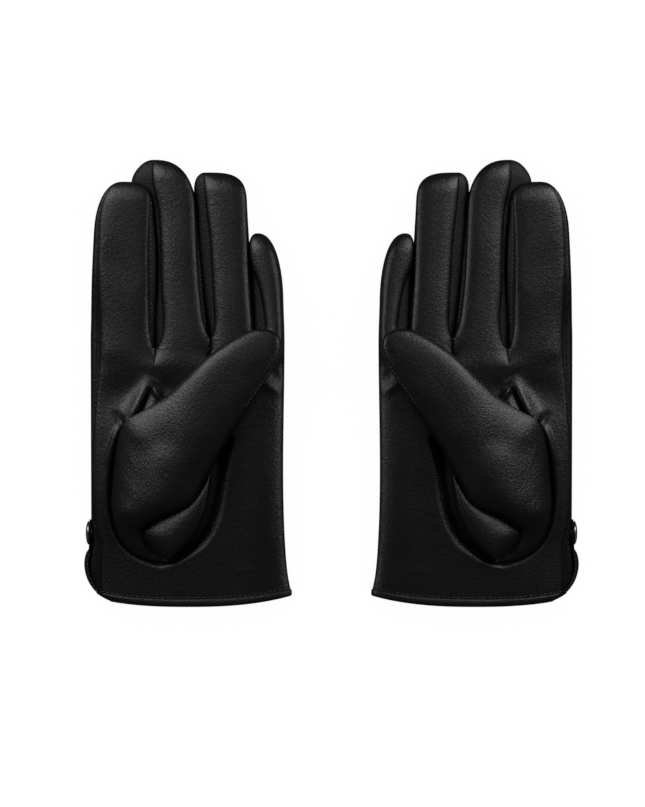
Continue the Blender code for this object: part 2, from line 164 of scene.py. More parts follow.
def along(points: Array, count: int) -> Array:
    """Points evenly spaced along the smooth curve through some points.

    Args:
        points: the points that the curve passes through.
        count: how many to return.

    Returns:
        An array of count points.
    """
    points = np.asarray(points, float)
    key = running(points)
    fine = through(key, points, np.linspace(0.0, key[-1], 16 * count))
    run = running(fine)
    return read_at(np.linspace(0.0, run[-1], count), run, fine)


def distance_to(x: Array, y: Array, line: Array) -> Array:
    """Distance from points to a polyline, the least of the distances to its segments.

    Args:
        x: x of the points.
        y: y of the points.
        line: the polyline's points in the plane.

    Returns:
        The distance of each point.
    """
    best = np.full(np.shape(x), 1e9)
    for a, b in zip(line[:-1], line[1:]):
        d = b - a
        t = np.clip(((x - a[0]) * d[0] + (y - a[1]) * d[1]) / (d @ d), 0.0, 1.0)
        best = np.minimum(best, np.hypot(x - a[0] - t * d[0], y - a[1] - t * d[1]))
    return best


def inside(x: Array, y: Array, line: Array) -> Array:
    """Whether points lie inside a closed outline, by counting the edges that a ray crosses.

    Args:
        x: x of the points.
        y: y of the points.
        line: the outline's points in the plane.

    Returns:
        True for each point inside.
    """
    found = np.zeros(np.shape(x), bool)
    for a, b in zip(line, np.roll(line, -1, axis=0)):
        crosses = (a[1] > y) != (b[1] > y)
        rise = b[1] - a[1] if b[1] != a[1] else 1e-9
        found ^= crosses & (x < a[0] + (y - a[1]) * (b[0] - a[0]) / rise)
    return found


def dome(across: Array, power: float) -> Array:
    """Height of a crowned section, (1 - |a|^p)^(1/p), for a from -1 at one edge to 1 at the other."""
    return (1.0 - np.minimum(np.abs(across), 1.0) ** power) ** (1.0 / power)


def eased(steps: int) -> Array:
    """Shares from 0 to 1, closer together towards both ends: (1 - cos(pi i/n)) / 2."""
    return (1.0 - np.cos(np.linspace(0.0, np.pi, steps + 1))) / 2


def circle(steps: int) -> Array:
    """Angles once round, without the last one, which is the first again."""
    return np.linspace(0.0, 2 * np.pi, steps + 1)[:-1]


# ------------------------------------------------------------------ meshes
def grid_faces(rows: int, columns: int, wrap: bool = False) -> Array:
    """Vertex numbers of the quads of a grid whose vertices run row by row.

    Args:
        rows: number of rows of vertices.
        columns: vertices in a row.
        wrap: joins the last column to the first.

    Returns:
        An array of quads.
    """
    number = np.arange(rows * columns).reshape(rows, columns)
    if wrap:
        number = np.concatenate([number, number[:, :1]], axis=1)
    corners = (number[:-1, :-1], number[:-1, 1:], number[1:, 1:], number[1:, :-1])
    return np.stack([c.ravel() for c in corners], axis=1)


def merged(points: Array, faces: Array) -> tuple[Array, Array]:
    """Makes points that coincide one, and renumbers the quads to suit.

    Args:
        points: the points.
        faces: quads of point numbers.

    Returns:
        The points that are left and the renumbered quads.
    """
    keys = np.round(points / SAME_POINT).astype(np.int64)
    _, first, index = np.unique(keys, axis=0, return_index=True, return_inverse=True)
    return points[first], index.reshape(-1)[faces]


def vertex_normals(points: Array, faces: Array) -> Array:
    """Normal of each vertex: the sum of the quads' diagonals' cross products around it.

    Args:
        points: the vertices.
        faces: quads of vertex numbers.

    Returns:
        One unit vector for each vertex.
    """
    corner = points[faces]
    face = np.cross(corner[:, 2] - corner[:, 0], corner[:, 3] - corner[:, 1])
    total = np.zeros_like(points)
    for k in range(4):
        np.add.at(total, faces[:, k], face)
    return total / np.maximum(np.linalg.norm(total, axis=1, keepdims=True), 1e-12)


def add_piece(name: str, side: Side, points: Array, faces: Array, finish: Material,
              normals: Array | None = None) -> bpy.types.Object:
    """One mesh object from quads in glove millimetres, with its place in its mesh.

    Args:
        name: the object's name, without its side.
        side: the glove that it belongs to.
        points: glove points, of which only those that a face uses are kept.
        faces: quads that point outwards on the left-hand glove; repeated corners are dropped.
        finish: its material.
        normals: shading normals of the points, for a surface that goes on in another piece.

    Returns:
        The new object.
    """
    used, index = np.unique(faces, return_inverse=True)
    faces = index.reshape(faces.shape)
    if side is Side.RIGHT:
        faces = faces[:, ::-1]
    same = faces == np.roll(faces, 1, axis=1)
    lengths = 4 - same.sum(axis=1)
    whole = lengths >= 3
    faces, same, lengths = faces[whole], same[whole], lengths[whole]
    mesh = bpy.data.meshes.new(f"{side.value}_{name}")
    placed = side.place(points[used])
    mesh.vertices.add(len(placed))
    mesh.vertices.foreach_set("co", placed.astype(np.float32).ravel())
    loops = faces[~same]
    mesh.loops.add(len(loops))
    mesh.loops.foreach_set("vertex_index", loops.astype(np.int32))
    mesh.polygons.add(len(faces))
    starts = np.concatenate([[0], np.cumsum(lengths)[:-1]])
    mesh.polygons.foreach_set("loop_start", starts.astype(np.int32))
    mesh.polygons.foreach_set("loop_total", lengths.astype(np.int32))
    mesh.update(calc_edges=True)
    mesh.validate()
    mesh.shade_smooth()
    if normals is not None:
        turned = normals[used] * np.array([-side.sign, 1.0, 1.0])
        mesh.normals_split_custom_set_from_vertices(turned.tolist())
    mesh.materials.append(finish)
    obj = bpy.data.objects.new(mesh.name, mesh)
    bpy.context.scene.collection.objects.link(obj)
    LOG.info("%s: %d faces", obj.name, len(faces))
    return obj


def loft(flat: Array, top: Array, under: Array) -> Array:
    """A closed grid whose rows run over an upper skin and back along a lower one.

    Args:
        flat: x and y of the points of each row, from one side line to the other.
        top: height of the upper skin at each.
        under: height of the lower skin at each.

    Returns:
        A grid of points, rows by columns.
    """
    upper = np.concatenate([flat, top[..., None]], axis=-1)
    lower = np.concatenate([flat, under[..., None]], axis=-1)
    return np.concatenate([upper, lower[:, ::-1][:, 1:-1]], axis=1)


def add_grid(name: str, side: Side, grid: Array, finish: Material,
             hollow: bool = False) -> bpy.types.Object:
    """One piece from a grid of points whose columns go round, with coinciding points joined.

    Args:
        name: the object's name, without its side.
        side: the glove that it belongs to.
        grid: rows of points.
        finish: its material.
        hollow: for a surface seen from within, whose faces point inwards.

    Returns:
        The new object.
    """
    points, faces = merged(grid.reshape(-1, 3), grid_faces(*grid.shape[:2], wrap=True))
    corner = points[faces] - points.mean(axis=0)
    volume = sum((corner[:, 0] * np.cross(corner[:, k], corner[:, k + 1])).sum() for k in (1, 2))
    if (volume < 0) != hollow:
        faces = faces[:, ::-1]
    return add_piece(name, side, points, faces, finish)


# ------------------------------------------------------------------ finishes
def linear(colour: str) -> tuple[float, float, float, float]:
    """The linear values of an sRGB hex colour.

    Args:
        colour: the colour, such as "#1a1a1c".

    Returns:
        Red, green, blue and alpha.
    """
    parts = np.array([int(colour[i:i + 2], 16) / 255 for i in (1, 3, 5)])
    light = np.where(parts <= 0.04045, parts / 12.92, ((parts + 0.055) / 1.055) ** 2.4)
    return (*light.tolist(), 1.0)


def per_mm(size: float) -> float:
    """Scale of a pattern in Object coordinates whose cells measure size millimetres."""
    return 1.0 / (size * MM)


def node(tree: bpy.types.NodeTree, kind: str, settings: dict | None = None,
         **links: bpy.types.NodeSocket) -> Node:
    """Adds a node with its settings and links.

    Args:
        tree: the node tree.
        kind: the node's type name.
        settings: values for its sockets by name, or for its properties where no socket has that name.
        links: for a socket's name, with _ for a space, the output socket that feeds it.

    Returns:
        The new node.
    """
    made = tree.nodes.new(kind)
    for key, value in (settings or {}).items():
        if hasattr(made, key):
            setattr(made, key, value)
        else:
            made.inputs[key].default_value = value
    for key, source in links.items():
        tree.links.new(source, made.inputs[key.replace("_", " ")])
    return made


def new_material(name: str) -> tuple[Material, bpy.types.NodeTree, Node, Node]:
    """Adds a material.

    Args:
        name: its name.

    Returns:
        The material, its tree, its shader and a source of Object coordinates.
    """
    material = bpy.data.materials.new(name)
    material.use_nodes = True
    tree = material.node_tree
    return material, tree, tree.nodes["Principled BSDF"], tree.nodes.new("ShaderNodeTexCoord")


@dataclass(frozen=True)
class NappaLeather:
    """Dyed sheepskin nappa, drummed soft: near black, satin, with a fine pebbled grain.

    The grain cells of the real skin are about half a millimetre. They are drawn about twice as
    coarse so that they show as the faint ripple that the light picks out.
    """

    name: str
    colour: str = "#070708"
    worn: str = "#0d0d0e"
    roughness: float = 0.36
    grain_mm: float = 0.95
    grain_depth: float = 0.28
    shine: float = 0.5

    def material(self) -> Material:
        """Builds it: cells for the grain, slow clouds for the colour and the polish.

        Returns:
            The material.
        """
        material, tree, shader, place = new_material(self.name)
        spot = place.outputs["Object"]
        cells = node(tree, "ShaderNodeTexVoronoi",
                     {"feature": "DISTANCE_TO_EDGE", "Scale": per_mm(self.grain_mm)}, Vector=spot)
        pores = node(tree, "ShaderNodeTexNoise",
                     {"Scale": per_mm(self.grain_mm * 1.7), "Detail": 3.0}, Vector=spot)
        clouds = node(tree, "ShaderNodeTexNoise", {"Scale": per_mm(26.0), "Detail": 2.0}, Vector=spot)
        tint = node(tree, "ShaderNodeMix", {"data_type": "RGBA"}, Factor=clouds.outputs["Fac"])
        tint.inputs[6].default_value = linear(self.colour)
        tint.inputs[7].default_value = linear(self.worn)
        polish = node(tree, "ShaderNodeMapRange",
                      {"From Min": 0.3, "From Max": 0.7, "To Min": self.roughness - 0.03,
                       "To Max": self.roughness + 0.04}, Value=clouds.outputs["Fac"])
        fine = node(tree, "ShaderNodeBump", {"Strength": 0.5, "Distance": self.grain_depth * MM},
                    Height=cells.outputs["Distance"])
        rough = node(tree, "ShaderNodeBump", {"Strength": 0.5, "Distance": 1.2 * self.grain_depth * MM},
                     Height=pores.outputs["Fac"], Normal=fine.outputs["Normal"])
        tree.links.new(tint.outputs[2], shader.inputs["Base Color"])
        tree.links.new(polish.outputs["Result"], shader.inputs["Roughness"])
        tree.links.new(rough.outputs["Normal"], shader.inputs["Normal"])
        shader.inputs["IOR"].default_value = 1.48
        shader.inputs["Specular IOR Level"].default_value = self.shine
        return material


@dataclass(frozen=True)
class KnittedFleece:
    """Brushed polyester fleece of the lining: matt and fibrous, a shade lighter than the leather."""

    name: str = "glove_lining_fleece"
    colour: str = "#1b1b1d"
    light: str = "#2c2c2e"

    def material(self) -> Material:
        """Builds it: fine noise for the tufts and their colour, and a soft sheen.

        Returns:
            The material.
        """
        material, tree, shader, place = new_material(self.name)
        spot = place.outputs["Object"]
        tufts = node(tree, "ShaderNodeTexNoise", {"Scale": per_mm(1.1), "Detail": 4.0}, Vector=spot)
        tint = node(tree, "ShaderNodeMix", {"data_type": "RGBA"}, Factor=tufts.outputs["Fac"])
        tint.inputs[6].default_value = linear(self.colour)
        tint.inputs[7].default_value = linear(self.light)
        bump = node(tree, "ShaderNodeBump", {"Strength": 0.9, "Distance": 0.6 * MM},
                    Height=tufts.outputs["Fac"])
        tree.links.new(tint.outputs[2], shader.inputs["Base Color"])
        tree.links.new(bump.outputs["Normal"], shader.inputs["Normal"])
        shader.inputs["Roughness"].default_value = 0.95
        shader.inputs["Sheen Weight"].default_value = 0.3
        return material


@dataclass(frozen=True)
class BondedThread:
    """Bonded nylon sewing thread: a shade lighter and shinier than the leather, with a twist."""

    name: str = "glove_thread_nylon"
    colour: str = "#38383b"

    def material(self) -> Material:
        """Builds it: fine slanted bands for the twist of the ply.

        Returns:
            The material.
        """
        material, tree, shader, place = new_material(self.name)
        twist = node(tree, "ShaderNodeTexWave",
                     {"Scale": per_mm(2.0), "bands_direction": "DIAGONAL"}, Vector=place.outputs["Object"])
        bump = node(tree, "ShaderNodeBump", {"Strength": 0.4, "Distance": 0.1 * MM},
                    Height=twist.outputs["Fac"])
        tree.links.new(bump.outputs["Normal"], shader.inputs["Normal"])
        shader.inputs["Base Color"].default_value = linear(self.colour)
        shader.inputs["Roughness"].default_value = 0.32
        return material


@dataclass(frozen=True)
class PolishedNickel:
    """Nickel-plated brass of the press snap, pressed and tumbled, with faint handling marks."""

    name: str = "glove_snap_nickel"
    colour: str = "#b9b8b4"

    def material(self) -> Material:
        """Builds it: noise in the polish for the marks.

        Returns:
            The material.
        """
        material, tree, shader, place = new_material(self.name)
        marks = node(tree, "ShaderNodeTexNoise", {"Scale": per_mm(1.5), "Detail": 5.0},
                     Vector=place.outputs["Object"])
        polish = node(tree, "ShaderNodeMapRange", {"To Min": 0.14, "To Max": 0.32},
                      Value=marks.outputs["Fac"])
        tree.links.new(polish.outputs["Result"], shader.inputs["Roughness"])
        shader.inputs["Base Color"].default_value = linear(self.colour)
        shader.inputs["Metallic"].default_value = 1.0
        return material


MAIN_LEATHER = NappaLeather("glove_leather_nappa")
# Painted shade: a darker copy of the leather, #030304 against #070708, standing in for the shade deep in the
# slots between the fingers; the fork strips and the side tab wear it.
SHADED_STRIP_LEATHER = NappaLeather("glove_strip_leather", colour="#030304", worn="#070708",
                             roughness=0.46, shine=0.22, grain_mm=0.8)
# Painted shade: a darker copy of the leather, #050506, that darkens the band of side strips down the
# forefinger side as shade would; its lower roughness only narrows their highlights.
SHADED_SIDE_LEATHER = NappaLeather("glove_side_leather", colour="#050506", roughness=0.34,
                            shine=0.34, grain_mm=0.8)
BINDING_LEATHER = NappaLeather("glove_binding_leather", colour="#060607", roughness=0.38, grain_mm=0.7)


@dataclass
class Finishes:
    """The materials of both gloves."""

    leather: Material = field(default_factory=MAIN_LEATHER.material)
    # The darker strip leather: painted shade in the finger slots.
    strip: Material = field(default_factory=SHADED_STRIP_LEATHER.material)
    # The darker side leather: painted shade down the forefinger side.
    edge: Material = field(default_factory=SHADED_SIDE_LEATHER.material)
    binding: Material = field(default_factory=BINDING_LEATHER.material)
    fleece: Material = field(default_factory=KnittedFleece().material)
    thread: Material = field(default_factory=BondedThread().material)
    nickel: Material = field(default_factory=PolishedNickel().material)


# ------------------------------------------------------------------ the hand and the fingers
# Folds in the leather: where each starts and ends, how wide it is and how high, below 0 for a dent.
PALM_FOLDS = (
    ((-17.5, 2.0), (-31.5, -22.5), 4.8, 3.7),
    ((-17.0, 0.5), (-26.5, -21.5), 2.3, -3.0),
    ((-20.5, -0.5), (-10.5, -12.5), 1.6, 1.3),
    ((-14.0, 1.0), (-4.0, -9.0), 4.4, -0.6),
    ((-38.5, -15.0), (-30.0, -28.0), 2.0, -1.2),
    ((-36.5, -22.0), (-42.5, -44.0), 1.7, 1.0),
    ((38.0, 1.5), (53.0, -8.0), 2.2, 1.2),
    ((43.0, 7.0), (53.0, -2.0), 3.0, -1.2),
    ((-46.0, 70.0), (-24.0, 52.0), 9.0, -0.5),
    ((-68.0, -8.0), (18.0, -3.0), 12.0, -2.4),
    ((24.0, -24.0), (30.0, -100.0), 9.0, -0.8),
    ((38.0, -20.0), (42.0, -112.0), 9.0, 0.5),
)
THUMB_FOLDS = (
    ((-30.0, -38.0), (-4.0, -28.0), 7.0, -0.7),
    ((-30.0, -30.0), (-22.0, -78.0), 8.0, -0.7),
    ((-10.0, -68.0), (6.0, -42.0), 5.0, -0.4),
    ((-36.0, -72.0), (-16.0, -92.0), 5.0, -1.2),
    ((30.0, -2.0), (46.0, 16.0), 5.0, -0.4),
    ((40.0, 1.0), (49.0, 14.0), 0.6, -0.6),
)


def bells(x: Array, y: Array, folds: tuple) -> Array:
    """Folds of leather, each h exp(-(d/w)^2) at distance d from its line, fading to its two ends.

    Args:
        x: x of the points.
        y: y of the points.
        folds: start, end, width and height of each.

    Returns:
        The height to add.
    """
    rise = np.zeros(np.shape(x))
    for start, end, width, height in folds:
        a, d = np.array(start), np.array(end) - np.array(start)
        t = ((x - a[0]) * d[0] + (y - a[1]) * d[1]) / (d @ d)
        off = ((x - a[0]) * d[1] - (y - a[1]) * d[0]) / np.sqrt(d @ d)
        fade = np.clip(1.0 - (2 * t - 1) ** 2, 0.0, 1.0) ** 0.8
        rise += height * np.exp(-((off / width) ** 2)) * fade
    return rise


@dataclass(frozen=True)
class FingerShape:
    """One finger seen from above, palm side up, and how thick it is.

    Each line is x at the heights ys. A seam joins the palm leather to a side or fork strip, and an
    edge is the outermost line of that strip. round_y and power say where and how squarely the two
    sides round off to the tip.
    """

    name: str
    ys: tuple[float, ...]
    left_edge: tuple[float, ...]
    left_seam: tuple[float, ...]
    right_seam: tuple[float, ...]
    right_edge: tuple[float, ...]
    tip: tuple[float, float]
    round_y: tuple[float, float]
    power: tuple[float, float]
    top: float  # height of the crown at the tip end
    floor: float = 0.2  # height of the underside at the tip end
    left_kind: str = "fork"
    right_kind: str = "fork"


FINGERS = (
    FingerShape("index", (18, 30, 50, 70, 90, 104),
                (-51.3, -51.1, -50.7, -49.9, -48.8, -48.0), (-46.4, -46.3, -46.4, -46.5, -46.2, -45.8),
                (-19.6, -20.2, -21.0, -21.2, -20.2, -19.0), (-16.7, -16.6, -16.4, -16.6, -17.8, -18.4),
                (-34.0, 105.9), (79.0, 92.0), (2.3, 3.0), 16.6, 4.6, left_kind="side"),
    FingerShape("middle", (18, 32, 50, 72, 92, 106, 117),
                (-17.3, -17.4, -17.4, -17.6, -22.5, -31.0, -31.0),
                (-13.6, -12.9, -14.0, -14.4, -15.6, -18.8, -19.6),
                (10.4, 8.2, 6.2, 4.9, 4.0, 3.1, 2.9), (12.2, 10.6, 8.8, 6.9, 4.9, 3.3, 3.0),
                (-18.0, 117.7), (96.0, 93.0), (2.1, 2.4), 13.4),
    FingerShape("ring", (18, 30, 44, 58, 76, 94, 108),
                (11.8, 10.4, 8.8, 7.0, 5.0, 3.9, 2.2), (14.4, 14.3, 13.6, 12.8, 11.7, 9.6, 8.4),
                (34.2, 34.0, 33.2, 32.3, 31.6, 31.0, 30.6), (35.6, 35.4, 34.6, 33.5, 32.4, 31.4, 30.9),
                (9.2, 111.0), (97.0, 93.0), (2.2, 3.4), 13.2),
    FingerShape("little", (18, 30, 43, 52, 62, 75),
                (35.0, 34.6, 33.8, 33.2, 32.8, 31.8), (41.6, 41.0, 39.2, 37.2, 33.8, 32.2),
                (51.2, 51.0, 50.6, 50.4, 50.2, 50.1), (51.2, 51.0, 50.6, 50.4, 50.2, 50.1),
                (37.0, 78.9), (66.0, 44.0), (2.6, 2.2), 12.0, right_kind="fold"),
)


@dataclass
class HandShell:
    """The leather of one glove apart from the thumb: the hand part and the four fingers.

    Rings of points run palm left to right, down the little-finger side, back right to left and up the
    forefinger side. The hand's rings reach from the hem to a curved line through the forks, where the
    fingers' own rings start on the very same points.
    """

    side: Side
    finishes: Finishes
    hem_y: float = -118.0
    hem_rise: float = 5.0
    fork_x: tuple[float, ...] = (-17.0, 12.2, 35.4)
    fork_y: tuple[float, ...] = (17.8, 23.4, 19.0)
    outer_y: float = 18.4  # the same line at the glove's two sides
    seam_above: float = 3.4  # how far the seams of the strips lie above or below mid height
    arc_steps: int = 56
    strip_steps: int = 14
    hand_rows: int = 150
    hem_rows: int = 40
    hem_share: float = 0.12  # the part of the hand's length that the hem's closer rings take up
    fork_rows: int = 22
    tip_rows: int = 56
    ring_pitch: float = 0.8
    gutter_depth: float = 4.2
    rest_z: float = 0.3  # height of the back where it lies
    palm_power: float = 2.8  # how squarely the hand is crowned on the palm
    back_power: float = 3.6  # and on the back
    tip_length: float = 11.0  # over which a finger closes in height
    fork_reach: float = 13.0  # over which a slot between two fingers opens from its fork
    side_bow: tuple[float, float] = (0.8, 1.5)  # power and puff of the strips down the two sides
    fork_bow: tuple[float, float] = (1.8, 0.0)  # and of the fork strips
    bend_margin: tuple[float, float] = (0.4, 9.0)  # from fork to bend, and from joint to its end
    stitched: tuple = ((0, 30.0, 96.0), (1, 30.0, 66.0))  # finger, and y of its first and last stitch

    @property
    def line_y(self) -> tuple[float, ...]:
        """y of the line through the forks, at one side, the three forks and the other side."""
        return (self.outer_y, *self.fork_y, self.outer_y)

    def half_thick(self, y: Array) -> Array:
        """Half the thickness of the hand part, thin at the hem and fullest at mid palm."""
        return through((-118, -95, -60, -20, 20), (6.3, 6.6, 7.5, 8.0, 7.7), y)

    def left_side(self, y: Array) -> Array:
        """x of the forefinger side, which flares a little and then rounds in at the hem."""
        return through((-118, -116.5, -114.8, -112.2, -108.7, -102.7, -97, -91, -86, -80, 24),
                       (-40.6, -44.4, -47.6, -49.8, -51.7, -52.9, -53.2, -52.2, -51.0, -51.0, -51.3), y)

    def left_seam(self, y: Array) -> Array:
        """x of the seam between the palm leather and the side strip."""
        return self.left_side(y) + through((-118, -116.5, -114.8, -112.2, -108.7, -102.7, -97, -91, -86, 24),
                                           (1.0, 1.6, 2.6, 4.2, 6.0, 7.2, 7.5, 6.6, 5.2, 4.9), y)

    def right_side(self, y: Array) -> Array:
        """x of the little-finger side, which opens out at the hem."""
        return through((-118, -113, -107, -97, -84, 24), (54.4, 54.0, 53.1, 52.2, 51.4, 51.2), y)

    def mid_z(self, y: Array, own: float | None = None) -> Array:
        """Mid height of the side, the hand's own up to the forks and a finger's beyond them."""
        hand = self.half_thick(y)
        return hand if own is None else hand + (own - hand) * smooth(24.0, 60.0, y)

    def hem_lift(self, x: Array, y: Array) -> Array:
        """How far the curved hem moves a point up, fading out above it."""
        return self.hem_rise * (np.abs(x) / 52.0) ** 2.5 * (1.0 - smooth(self.hem_y, self.hem_y + 34.0, y))

    # ---- folds of the palm
    def thumb_hole(self) -> Array:
        """Outline of the seam of the set-in thumb, closed under the thumb where it isn't seen."""
        return along(((21.2, -30.5), (19.1, -38.4), (17.5, -49.2), (16.0, -60.8), (13.2, -71.5),
                      (8.1, -81.4), (0.3, -89.1), (-7.4, -94.6), (-13.7, -96.4), (-20.7, -94.9),
                      (-28.4, -91.2), (-34.5, -85.4), (-38.4, -78.2), (-40.3, -70.2), (-41.2, -60.0),
                      (-40.8, -49.0), (-39.2, -38.4), (-36.4, -30.4), (-32.0, -23.0)), 90)

    def folds(self, x: Array, y: Array) -> Array:
        """Height added to the palm: the sunk seat of the thumb with its lip, and the folds beside it.

        The seat is a step of gutter_depth at the seam's signed distance, the lip and each fold are
        bell-shaped ridges exp(-(d/w)^2) about a line, and slow sines make the skin uneven.

        Args:
            x: x of the points.
            y: y of the points.

        Returns:
            The height to add.
        """
        seam = self.thumb_hole()
        gap = distance_to(x, y, seam)
        gap = np.where(inside(x, y, seam), -gap, gap)
        soft = 1.3 + 3.9 * smooth(-12.0, 12.0, x)
        rise = -self.gutter_depth * (1.0 - smooth(-3.0, soft, gap))
        lip = 0.75 * smooth(-14.0, -36.0, x) * smooth(-92.0, -70.0, y) + 0.05
        rise += lip * np.exp(-((gap - 2.6) / 1.4) ** 2)
        rise += bells(x, y, PALM_FOLDS)
        rise += 0.10 * np.sin(x * 0.13 + 1.0) * np.sin(y * 0.09 + 0.4) + 0.06 * np.sin(x * 0.07 - y * 0.15)
        return rise

    # ---- sections
    def arc_share(self) -> Array:
        """Shares across a finger's leather, from -1 to 1, closer together towards its seams."""
        return -np.cos(np.linspace(0.0, np.pi, self.arc_steps + 1))

    def hand_ring(self, share: Array) -> Array:
        """The hand's rings, for shares v from 0 at the hem to 1 at the line through the forks.

        Args:
            share: one v for each ring.

        Returns:
            A grid of points, rings by columns.
        """
        v = share[:, None]
        a = self.arc_share()[None, :]
        u = (a + 1.0) / 2.0
        line_y = self.line_y
        palm, back = [], []
        for k, finger in enumerate(FINGERS):
            top = line_y[k] + (line_y[k + 1] - line_y[k]) * smooth(0.0, 1.0, u)
            y = self.hem_y + (top - self.hem_y) * v
            lines = [self.left_seam(y), *(np.full_like(y, x) for x in self.fork_x), self.right_side(y)]
            x = self.across(k, y, u, lines[k], lines[k + 1])
            low, high = self.left_seam(y), self.right_side(y)
            whole = np.clip((2 * x - low - high) / (high - low), -1.0, 1.0)
            mid, w = self.mid_z(y), smooth(7.5, 17.8, y)
            base = mid + self.seam_above * np.where(whole < 0, -whole, 0.0)
            up = base + (mid + self.half_thick(y) - base) * dome(whole, self.palm_power)
            own = self.palm_z(finger, a, y)
            near = smooth(6.0, 17.5, y)
            lift = self.folds(x, y) * ((1.0 - near) * (1.0 - np.abs(whole) ** 8) + near * (1.0 - a**4))
            palm.append(np.stack([x, y + self.hem_lift(x, y), (1 - w) * up + w * own + lift], axis=-1))
            down = mid - self.seam_above * np.where(whole < 0, -whole, 0.0)
            low_z = down - (down - self.rest_z) * dome(whole, self.back_power)
            flat = self.back_z(finger, a, y)
            back.append(np.stack([x, y + self.hem_lift(x, y), (1 - w) * low_z + w * flat], axis=-1))
        edge = self.left_side(self.hem_y + (self.outer_y - self.hem_y) * share)
        strip = self.strip_points(palm[0][:, 0], back[0][:, 0], edge, *self.side_bow)
        return np.concatenate([*palm, *(b[:, ::-1] for b in back[::-1]), strip[:, ::-1][:, 1:-1]], axis=1)

    def open_line(self, number: int, side: int, y: Array) -> Array:
        """The line that a finger's middle leather follows, opening smoothly away from the fork.

        Args:
            number: the finger's place in FINGERS.
            side: 0 for its left line and 1 for its right.
            y: where to read it.

        Returns:
            x of the line; at a side or a fold of the hand it is the seam itself.
        """
        finger = FINGERS[number]
        seam = through(finger.ys, finger.right_seam if side else finger.left_seam, y)
        if (finger.left_kind, finger.right_kind)[side] == "fork":
            fork, fork_y = self.fork_x[number - 1 + side], self.fork_y[number - 1 + side]
            return fork + (seam - fork) * smooth(fork_y - 16.0, fork_y + 12.0, y)
        hand = self.right_side(y) if side else self.left_seam(y)
        return hand + (seam - hand) * smooth(19.5, 34.0, y)

    def across(self, number: int, y: Array, u: Array, left: Array, right: Array) -> Array:
        """x across a finger's leather: evenly between its opening lines, and drawn to its true seams.

        Args:
            number: the finger's place in FINGERS.
            y: y of the points.
            u: share across, from 0 to 1.
            left: x of the true left seam.
            right: x of the true right seam.

        Returns:
            x of the points, where the pull of a seam falls off as the eighth power.
        """
        low, high = self.open_line(number, 0, y), self.open_line(number, 1, y)
        tip = FINGERS[number].tip[0]
        low = tip + (low - tip) * self.rounding(FINGERS[number], y, *self.turn(number, 0))
        high = tip + (high - tip) * self.rounding(FINGERS[number], y, *self.turn(number, 1))
        return low + (high - low) * u + (left - low) * (1.0 - u) ** 8 + (right - high) * u**8

    def turn(self, number: int, side: int) -> tuple[float, float]:
        """Where a finger's side starts to round off to the tip, and the power of the rounding."""
        return FINGERS[number].round_y[side], FINGERS[number].power[side]

    def strip_points(self, seam: Array, under: Array, edge: Array, power: float,
                     puff: float) -> Array:
        """A strip from the palm seam round its outermost line to the back seam, as half an ellipse.

        Args:
            seam: points of the palm seam, one for each ring.
            under: points of the back seam.
            edge: x of the outermost line at each ring.
            power: how the strip bows, sin(psi)^power, over 1 where it drops before it bulges.
            puff: how far it swells beside its two seams, puff sin(psi) cos(psi).

        Returns:
            A grid of points, rings by strip columns.
        """
        psi = np.linspace(0.0, np.pi, self.strip_steps + 1)[None, :]
        mid = (seam[:, None] + under[:, None]) / 2
        points = mid + (seam[:, None] - mid) * np.cos(psi)[..., None]
        points[..., 0] += (edge - seam[:, 0])[:, None] * np.sin(psi).clip(0) ** power
        points[..., 2] += puff * np.sin(psi) * np.cos(psi) * np.abs(edge - seam[:, 0])[:, None] / 5.0
        return points

    def rounding(self, finger: FingerShape, y: Array, start: float, power: float) -> Array:
        """How much of a finger's width or height is left at y, a superellipse down to the tip."""
        u = np.clip((y - start) / (finger.tip[1] - start), 0.0, 1.0)
        return (1.0 - u**power) ** (1.0 / power)

    def finger_mid(self, finger: FingerShape, y: Array) -> Array:
        """Mid height of a finger's side."""
        return self.mid_z(y, (finger.top + finger.floor) / 2)

    def closing(self, finger: FingerShape, y: Array) -> Array:
        """How much of a finger's thickness is left at y, down to the tip."""
        return self.rounding(finger, y, finger.tip[1] - self.tip_length, 2.0)

    def seam_z(self, finger: FingerShape, a: Array, mid: Array, away: Array) -> Array:
        """Height straight across from a finger's left seam to its right one.

        Args:
            finger: the finger.
            a: share across, from -1 to 1.
            mid: mid height of the finger's side.
            away: how far a seam lies above mid height, below 0 for beneath; at a fold it is level.

        Returns:
            The height at each share.
        """
        left = mid + away
        right = left if finger.right_kind == "fork" else mid
        return left + (right - left) * (a + 1) / 2

    def palm_z(self, finger: FingerShape, a: Array, y: Array) -> Array:
        """Height of a finger's palm leather: a crown over the straight line between its seams.

        Args:
            finger: the finger.
            a: share across, from -1 to 1.
            y: where to read it.

        Returns:
            The height of the points.
        """
        mid, close = self.finger_mid(finger, y), self.closing(finger, y)
        crown = through((0, 24, 60, 130), (15.4, 14.8, (14.6 + finger.top) / 2, finger.top), y)
        base = self.seam_z(finger, a, mid, self.seam_above * close)
        return base + ((crown - mid) * close + mid - base).clip(0) * dome(a, 2.35)

    def back_z(self, finger: FingerShape, a: Array, y: Array) -> Array:
        """Height of a finger's back leather, crowned downwards and pressed flat where it lies.

        Args:
            finger: the finger.
            a: share across, from -1 to 1.
            y: where to read it.

        Returns:
            The height of the points.
        """
        mid, close = self.finger_mid(finger, y), self.closing(finger, y)
        rest = self.rest_z
        floor = through((0, 24, 60, 130), (rest, rest, (rest + finger.floor) / 2, finger.floor), y)
        base = self.seam_z(finger, a, mid, -self.seam_above * close)
        return base - (base - mid + (mid - floor) * close).clip(0) * dome(a, 3.0)

